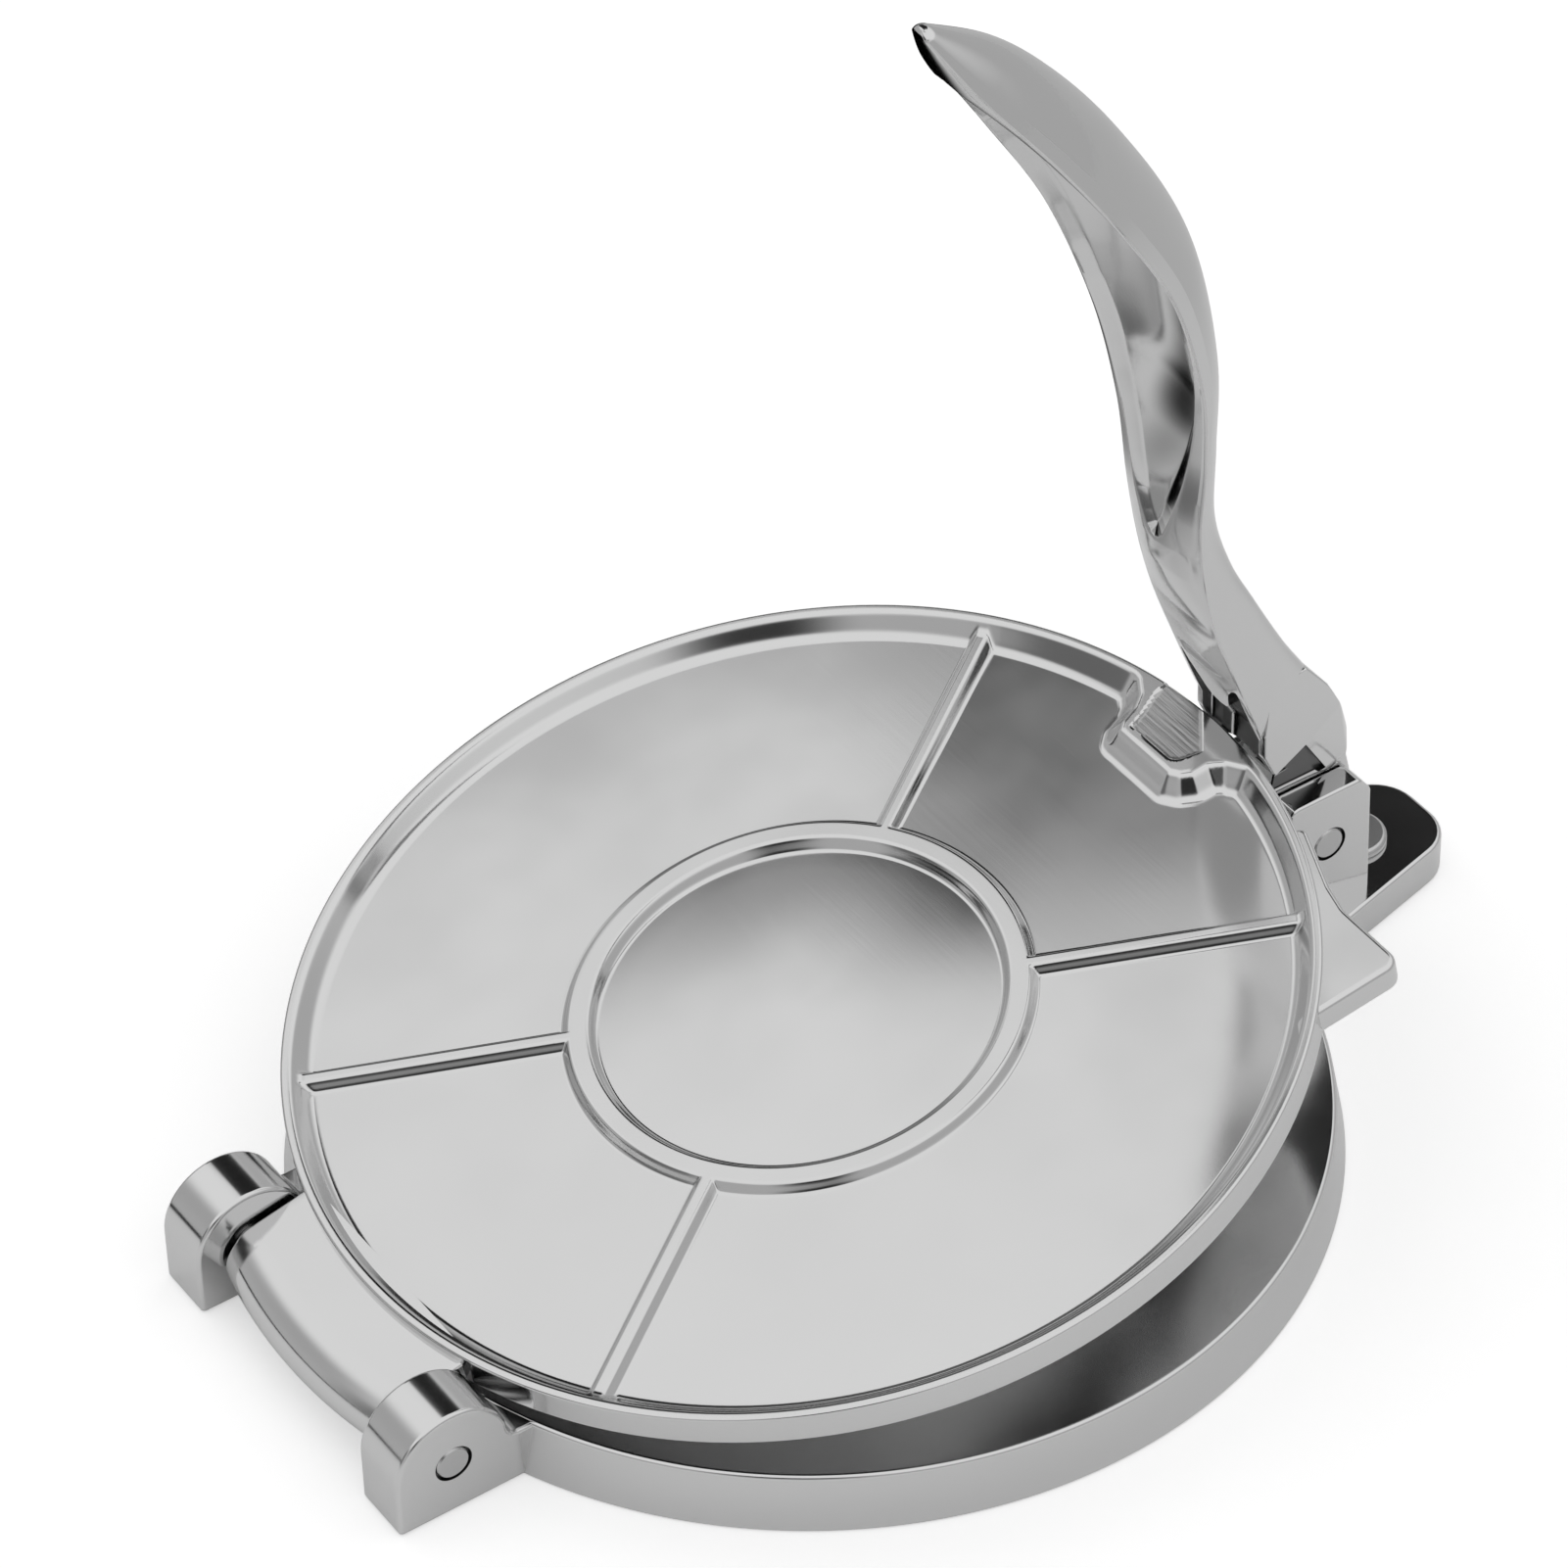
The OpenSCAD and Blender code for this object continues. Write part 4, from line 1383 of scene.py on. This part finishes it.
@dataclass
class TurnedPins:
    """The steel pins: two stub pins in the hinge and one through the clevis, made by Geometry Nodes."""

    finishes: Finishes
    radius: float = 3.5
    chamfer: float = 0.35
    hinge_span: tuple[float, float] = (12.0, 41.3)
    lever_span: tuple[float, float] = (-12.5, 12.5)

    def build(self) -> list[bpy.types.Object]:
        """Builds the three pins and puts them on their bodies.

        Returns:
            The finished pins.
        """
        tree = self.tree()
        hinge, lever = joint("plate_stage")["pos_m"], joint("lever_press")["pos_m"]
        near, far = self.hinge_span
        made = []
        for name, node, body, place, span in (
                ("hinge_pin_turned_left", "hinge_pin_left", "hinge_pins", hinge, (near, far)),
                ("hinge_pin_turned_right", "hinge_pin_right", "hinge_pins", hinge, (-far, -near)),
                ("lever_pin_turned", "lever_pin", "lever_pin", lever, self.lever_span)):
            pin = self.pin(tree, name, place, span)
            hand_over(pin, body, [node])
            made.append(pin)
        return made

    def tree(self) -> bpy.types.NodeTree:
        """Builds the tree that draws one pin: a line along Y, swept with chamfered ends."""
        tree = bpy.data.node_groups.new("turned_pin", "GeometryNodeTree")
        face = tree.interface
        for name, kind in (("Radius", "Float"), ("Chamfer", "Float"), ("From", "Float"), ("To", "Float"),
                           ("Axis X", "Float"), ("Axis Z", "Float"), ("Finish", "Material")):
            face.new_socket(name, in_out="INPUT", socket_type=f"NodeSocket{kind}")
        face.new_socket("Geometry", in_out="OUTPUT", socket_type="NodeSocketGeometry")
        given = add_node(tree, "NodeGroupInput").outputs
        inner = add_math(tree, "ADD", given["From"], given["Chamfer"])
        outer = add_math(tree, "SUBTRACT", given["To"], given["Chamfer"])
        small = add_math(tree, "SUBTRACT", given["Radius"], given["Chamfer"])
        index = add_node(tree, "GeometryNodeInputIndex").outputs[0]
        along = self.choose(tree, index, [given["From"], inner, outer, given["To"]])
        girth = self.choose(tree, index, [small, given["Radius"], given["Radius"], small])
        line = add_node(tree, "GeometryNodeMeshLine", {"Count": 4})
        place = add_node(tree, "ShaderNodeCombineXYZ", {
            "X": given["Axis X"], "Y": along, "Z": given["Axis Z"]})
        moved = add_node(tree, "GeometryNodeSetPosition", {
            "Geometry": line.outputs["Mesh"], "Position": place.outputs[0]})
        curve = add_node(tree, "GeometryNodeMeshToCurve", {"Mesh": moved.outputs["Geometry"]})
        ring = add_node(tree, "GeometryNodeCurvePrimitiveCircle", {"Resolution": 64, "Radius": 1.0})
        swept = add_node(tree, "GeometryNodeCurveToMesh", {
            "Curve": curve.outputs["Curve"], "Profile Curve": ring.outputs["Curve"], "Scale": girth,
            "Fill Caps": True})
        real = add_node(tree, "GeometryNodeRealizeInstances", {"Geometry": swept.outputs["Mesh"]})
        dressed = add_node(tree, "GeometryNodeSetMaterial", {
            "Geometry": real.outputs["Geometry"], "Material": given["Finish"]})
        add_node(tree, "NodeGroupOutput", {"Geometry": dressed.outputs["Geometry"]})
        return tree

    @staticmethod
    def choose(tree: bpy.types.NodeTree, index: bpy.types.NodeSocket,
               values: Sequence[bpy.types.NodeSocket]) -> bpy.types.NodeSocket:
        """Adds a switch that gives each point of the line its own value, by its number."""
        switch = add_node(tree, "GeometryNodeIndexSwitch", data_type="FLOAT")
        while len(switch.index_switch_items) < len(values):
            switch.index_switch_items.new()
        tree.links.new(index, switch.inputs["Index"])
        for i, value in enumerate(values):
            tree.links.new(value, switch.inputs[i + 1])
        return switch.outputs[0]

    def pin(self, tree: bpy.types.NodeTree, name: str, place: Sequence[float],
            span: tuple[float, float]) -> bpy.types.Object:
        """Makes one pin from the tree.

        Args:
            tree: The pin's tree.
            name: The pin's name.
            place: A point of its axis, in metres.
            span: Where it starts and ends along Y.

        Returns:
            The pin, as a plain mesh.
        """
        obj = bpy.data.objects.new(name, bpy.data.meshes.new(name))
        bpy.context.collection.objects.link(obj)
        step = obj.modifiers.new("pin", "NODES")
        step.node_group = tree
        values = {"Radius": self.radius * MM, "Chamfer": self.chamfer * MM, "From": span[0] * MM,
                  "To": span[1] * MM, "Axis X": place[0], "Axis Z": place[2], "Finish": self.finishes.steel}
        for socket in tree.interface.items_tree:
            if socket.in_out == "INPUT":
                step[socket.identifier] = values[socket.name]
        settled(obj, name)
        for face in obj.data.polygons:
            face.use_smooth = True
        obj.data.set_sharp_from_angle(angle=math.radians(30))
        return obj


@dataclass
class StopStud:
    """The steel stud that the lever lands on when it swings right out."""

    finishes: Finishes
    x: float = 131.5
    seat_z: float = 9.0
    head_r: float = 7.0
    head_h: float = 1.9
    shank_r: float = 2.98

    def build(self) -> bpy.types.Object:
        """Builds the stud and puts it on its body.

        Returns:
            The finished stud.
        """
        top = self.seat_z + self.head_h
        profile = rounded([(0.3, 1.0, 0), (self.shank_r, 1.0, 0.4), (self.shank_r, self.seat_z + 0.02, 0),
                           (self.head_r, self.seat_z + 0.02, 0.3), (self.head_r, top, 0.9), (0.3, top, 0)],
                          steps=5, closed=False)
        stud = revolve("stop_stud_turned", profile, 72)
        stud.data.transform(Matrix.Translation((self.x * MM, 0, 0)))
        stud.data.materials.append(self.finishes.steel)
        smooth(stud)
        hand_over(stud, "base", ["stop_stud"])
        return stud


# ---------------------------------------------------------------- studio


@dataclass
class Studio:
    """A white floor, a pale room with soft dark cards in it for the metal to mirror, and the camera."""

    stands: bpy.types.Object
    # the floor: its reach, the hole under the press, and how far below the press it lies, in metres
    floor_r: float = 6.0
    floor_drop: float = 0.0002
    floor_rays: int = 360
    hole_start: float = 0.096
    hole_step: float = 0.0005
    hole_margin: float = 0.0015
    # a pool of light painted into its colour, which reflections see: brightness near and far, and the
    # distances between which it changes
    painted_light_pool: tuple[float, float] = (0.93, 0.70)
    painted_light_pool_span: tuple[float, float] = (0.16, 0.42)
    # painted shade darkening it behind the press: two directions, and the distances along them over which
    # it sets in
    shades: tuple[tuple[tuple[float, float, float], tuple[float, float]], ...] = (
        ((0.0, 1.0, 0.0), (0.13, 0.19)),
        ((-0.79, 0.62, 0.0), (-0.05, 0.0)))
    # as the camera sees it: its colour, and its own light
    floor_seen: float = 0.79
    floor_glow: float = 0.46
    # the room's brightness, low down and high up, and the elevations between which it changes
    room: tuple[float, float] = (0.50, 0.92)
    room_span: tuple[float, float] = (20.0, 42.0)
    # soft-edged cards in the room: azimuth, elevation, half width, half height, edge, brightness
    cards: tuple[tuple[float, float, float, float, float, float], ...] = (
        (68.0, 30.0, 12.0, 18.6, 1.2, 0.12),
        (57.0, 40.0, 11.4, 12.8, 1.3, 0.015),
        (-130.0, 23.0, 12.0, 11.0, 7.0, 0.02),
        (168.0, 12.0, 14.0, 13.0, 7.0, 0.16),
        (137.0, 26.0, 12.0, 12.0, 9.5, 0.46))
    # the camera: its lens, its turn as axis times angle, and the world's origin as it sees it, in mm
    lens_px: float = 7000.0
    image_px: float = 1601.0
    sensor_mm: float = 36.0
    turn_vector: tuple[float, float, float] = (2.203, -0.698, 0.293)
    shift: tuple[float, float, float] = (5.837, 68.450, 1324.596)

    def build(self) -> None:
        """Makes the world, the floor and the camera."""
        self.world()
        self.floor()
        self.camera()

    def camera(self) -> None:
        """Sets the camera as worked out from the rims, ribs and pins."""
        turn = Matrix(self.rotation()).to_4x4()
        data = bpy.data.cameras.new("camera")
        data.sensor_width = self.sensor_mm
        data.lens = self.lens_px / self.image_px * self.sensor_mm
        data.clip_start, data.clip_end = 0.05, 50.0
        camera = bpy.data.objects.new("camera", data)
        bpy.context.collection.objects.link(camera)
        camera.matrix_world = Matrix.Translation(self.place()) @ turn
        bpy.context.scene.camera = camera

    def looks(self) -> Matrix:
        """World-to-camera rotation, with the camera looking along +Z and +Y down."""
        vector = np.array(self.turn_vector)
        angle = float(np.linalg.norm(vector))
        return Matrix.Rotation(angle, 3, vector / angle)

    def rotation(self) -> Matrix:
        """The camera's own axes in the world: right, up and back."""
        rows = self.looks()
        return Matrix((rows[0], -rows[1], -rows[2])).transposed()

    def place(self) -> tuple[float, float, float]:
        """Where the camera stands, in metres."""
        return tuple(-(self.looks().transposed() @ Vector(self.shift)) * MM)

    def footprint(self) -> list[tuple[float, float]]:
        """Works out where the press covers the floor, so that its underside is lit when seen from below.

        Returns:
            Pairs of angle and radius, just inside the outline of what stands on the floor.
        """
        tree = BVHTree.FromObject(self.stands, bpy.context.evaluated_depsgraph_get())
        angles = np.linspace(-math.pi, math.pi, self.floor_rays, endpoint=False)
        reach = np.full(self.floor_rays, self.hole_start)
        for i, angle in enumerate(angles):
            across, along = math.cos(angle), math.sin(angle)
            while tree.ray_cast((reach[i] * across, reach[i] * along, -MM), (0, 0, 1), 10 * MM)[0]:
                reach[i] += self.hole_step
        inside = np.minimum(reach, np.minimum(np.roll(reach, 1), np.roll(reach, -1))) - self.hole_margin
        return [(float(angle), float(radius)) for angle, radius in zip(angles, inside)]

    def floor(self) -> None:
        """A wide white floor, which keeps the shadow, with a hole where the press covers it."""
        hole = self.footprint()
        count = len(hole)
        wide = [(self.floor_r * math.cos(a), self.floor_r * math.sin(a)) for a, _ in hole]
        rim = [(r * math.cos(a), r * math.sin(a)) for a, r in hole]
        faces = [(i, count + i, count + (i + 1) % count, (i + 1) % count) for i in range(count)]
        mesh = bpy.data.meshes.new("floor")
        mesh.from_pydata([(x, y, 0) for x, y in rim + wide], [], faces)
        floor = bpy.data.objects.new("floor", mesh)
        bpy.context.collection.objects.link(floor)
        floor.location.z = -self.floor_drop
        mesh.materials.append(self.floor_white())

    def floor_white(self) -> bpy.types.Material:
        """The floor's white, clear from below; where only metal sees it, a pool of light is painted near
        the press and painted shade darkens it behind the press.

        Returns:
            The material.
        """
        material, tree, shader = new_material("white_floor")
        place = add_node(tree, "ShaderNodeTexCoord").outputs["Object"]
        by_camera = add_node(tree, "ShaderNodeLightPath").outputs["Is Camera Ray"]
        reach = add_node(tree, "ShaderNodeVectorMath", {0: place}, operation="LENGTH").outputs["Value"]
        painted_light_pool = add_ramp(tree, reach, self.painted_light_pool_span, self.painted_light_pool)
        shades = [add_ramp(tree, add_dot(tree, place, way), span, (0.0, 1.0)) for way, span in self.shades]
        keep = add_math(tree, "SUBTRACT", 1.0, add_math(tree, "MULTIPLY", *shades))
        painted_light_and_shade = add_math(tree, "MULTIPLY", painted_light_pool, keep)
        grey = add_node(tree, "ShaderNodeMix", {0: by_camera, 2: painted_light_and_shade, 3: self.floor_seen}).outputs[0]
        tint = add_node(tree, "ShaderNodeCombineColor", {"Red": grey, "Green": grey, "Blue": grey})
        tree.links.new(tint.outputs[0], shader.inputs["Base Color"])
        shader.inputs["Roughness"].default_value = 0.9
        shader.inputs["Specular IOR Level"].default_value = 0.0
        glow = add_math(tree, "MULTIPLY", by_camera, self.floor_glow)
        tree.links.new(glow, shader.inputs["Emission Strength"])
        shader.inputs["Emission Color"].default_value = hex_linear("#FFFFFF")
        clear = add_node(tree, "ShaderNodeBsdfTransparent")
        under = add_node(tree, "ShaderNodeNewGeometry").outputs["Backfacing"]
        mixed = add_node(tree, "ShaderNodeMixShader", {0: under, 1: shader.outputs[0], 2: clear.outputs[0]})
        tree.links.new(mixed.outputs[0], tree.nodes["Material Output"].inputs["Surface"])
        return material

    def world(self) -> None:
        """A white room for the camera; metal sees a bright ceiling, a duller horizon and the cards."""
        world = bpy.data.worlds.new("studio")
        bpy.context.scene.world = world
        world.use_nodes = True
        tree = world.node_tree
        tree.nodes.clear()
        way = add_node(tree, "ShaderNodeTexCoord").outputs["Generated"]
        height = add_node(tree, "ShaderNodeSeparateXYZ", {"Vector": way}).outputs["Z"]
        low, high = (math.sin(math.radians(elevation)) for elevation in self.room_span)
        light = add_ramp(tree, height, (low, high), self.room)
        for card in self.cards:
            light = self.card(tree, way, light, *card)
        colour = add_node(tree, "ShaderNodeCombineColor", {"Red": light, "Green": light, "Blue": light})
        room = add_node(tree, "ShaderNodeBackground", {"Color": colour.outputs[0], "Strength": 1.0})
        white = add_node(tree, "ShaderNodeBackground", {"Color": (1, 1, 1, 1), "Strength": 1.0})
        by_camera = add_node(tree, "ShaderNodeLightPath").outputs["Is Camera Ray"]
        mixed = add_node(tree, "ShaderNodeMixShader", {
            0: by_camera, 1: room.outputs[0], 2: white.outputs[0]})
        add_node(tree, "ShaderNodeOutputWorld", {"Surface": mixed.outputs[0]})

    @staticmethod
    def card(tree: bpy.types.NodeTree, way: bpy.types.NodeSocket, under: bpy.types.NodeSocket,
             azimuth: float, elevation: float, wide: float, high: float, soft: float,
             value: float) -> bpy.types.NodeSocket:
        """Adds a flat rectangular card with soft edges to the room.

        Args:
            tree: The world's tree.
            way: The direction looked in.
            under: The brightness that the card covers.
            azimuth: The card's direction from +X towards +Y, in degrees.
            elevation: Its height above the horizon, in degrees.
            wide: Half its width, in degrees.
            high: Half its height, in degrees.
            soft: Half the width of its soft edge, in degrees.
            value: Its brightness.

        Returns:
            The brightness with the card in it.
        """
        a, e = math.radians(azimuth), math.radians(elevation)
        forward = (math.cos(a) * math.cos(e), math.sin(a) * math.cos(e), math.sin(e))
        side = (-math.sin(a), math.cos(a), 0.0)
        rise = (-math.cos(a) * math.sin(e), -math.sin(a) * math.sin(e), math.cos(e))
        ahead, least_ahead = add_dot(tree, way, forward), 0.05
        facing = add_math(tree, "MAXIMUM", ahead, least_ahead)
        cover = add_math(tree, "GREATER_THAN", ahead, least_ahead)
        for axis, half in ((side, wide), (rise, high)):
            slant = add_math(tree, "DIVIDE", add_dot(tree, way, axis), facing)
            edge = math.tan(math.radians(half - soft)), math.tan(math.radians(half + soft))
            within = add_ramp(tree, add_math(tree, "ABSOLUTE", slant), edge, (1.0, 0.0))
            cover = add_math(tree, "MULTIPLY", cover, within)
        return add_node(tree, "ShaderNodeMix", {0: cover, 2: under, 3: value}).outputs[0]


# ---------------------------------------------------------------- all of it


def main() -> None:
    """Builds the press, its finishes and the studio, in that order."""
    logging.basicConfig(level=logging.INFO, format="%(message)s")
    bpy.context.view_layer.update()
    scene = bpy.context.scene
    scene.view_settings.view_transform = "Standard"
    finishes = Finishes()
    base = BasePlate(finishes).build()
    UpperPlate(finishes).build()
    Lever(finishes).build()
    TurnedPins(finishes).build()
    StopStud(finishes).build()
    Studio(base).build()
    LOG.info("boxes written")


if __name__ == "__main__":
    main()
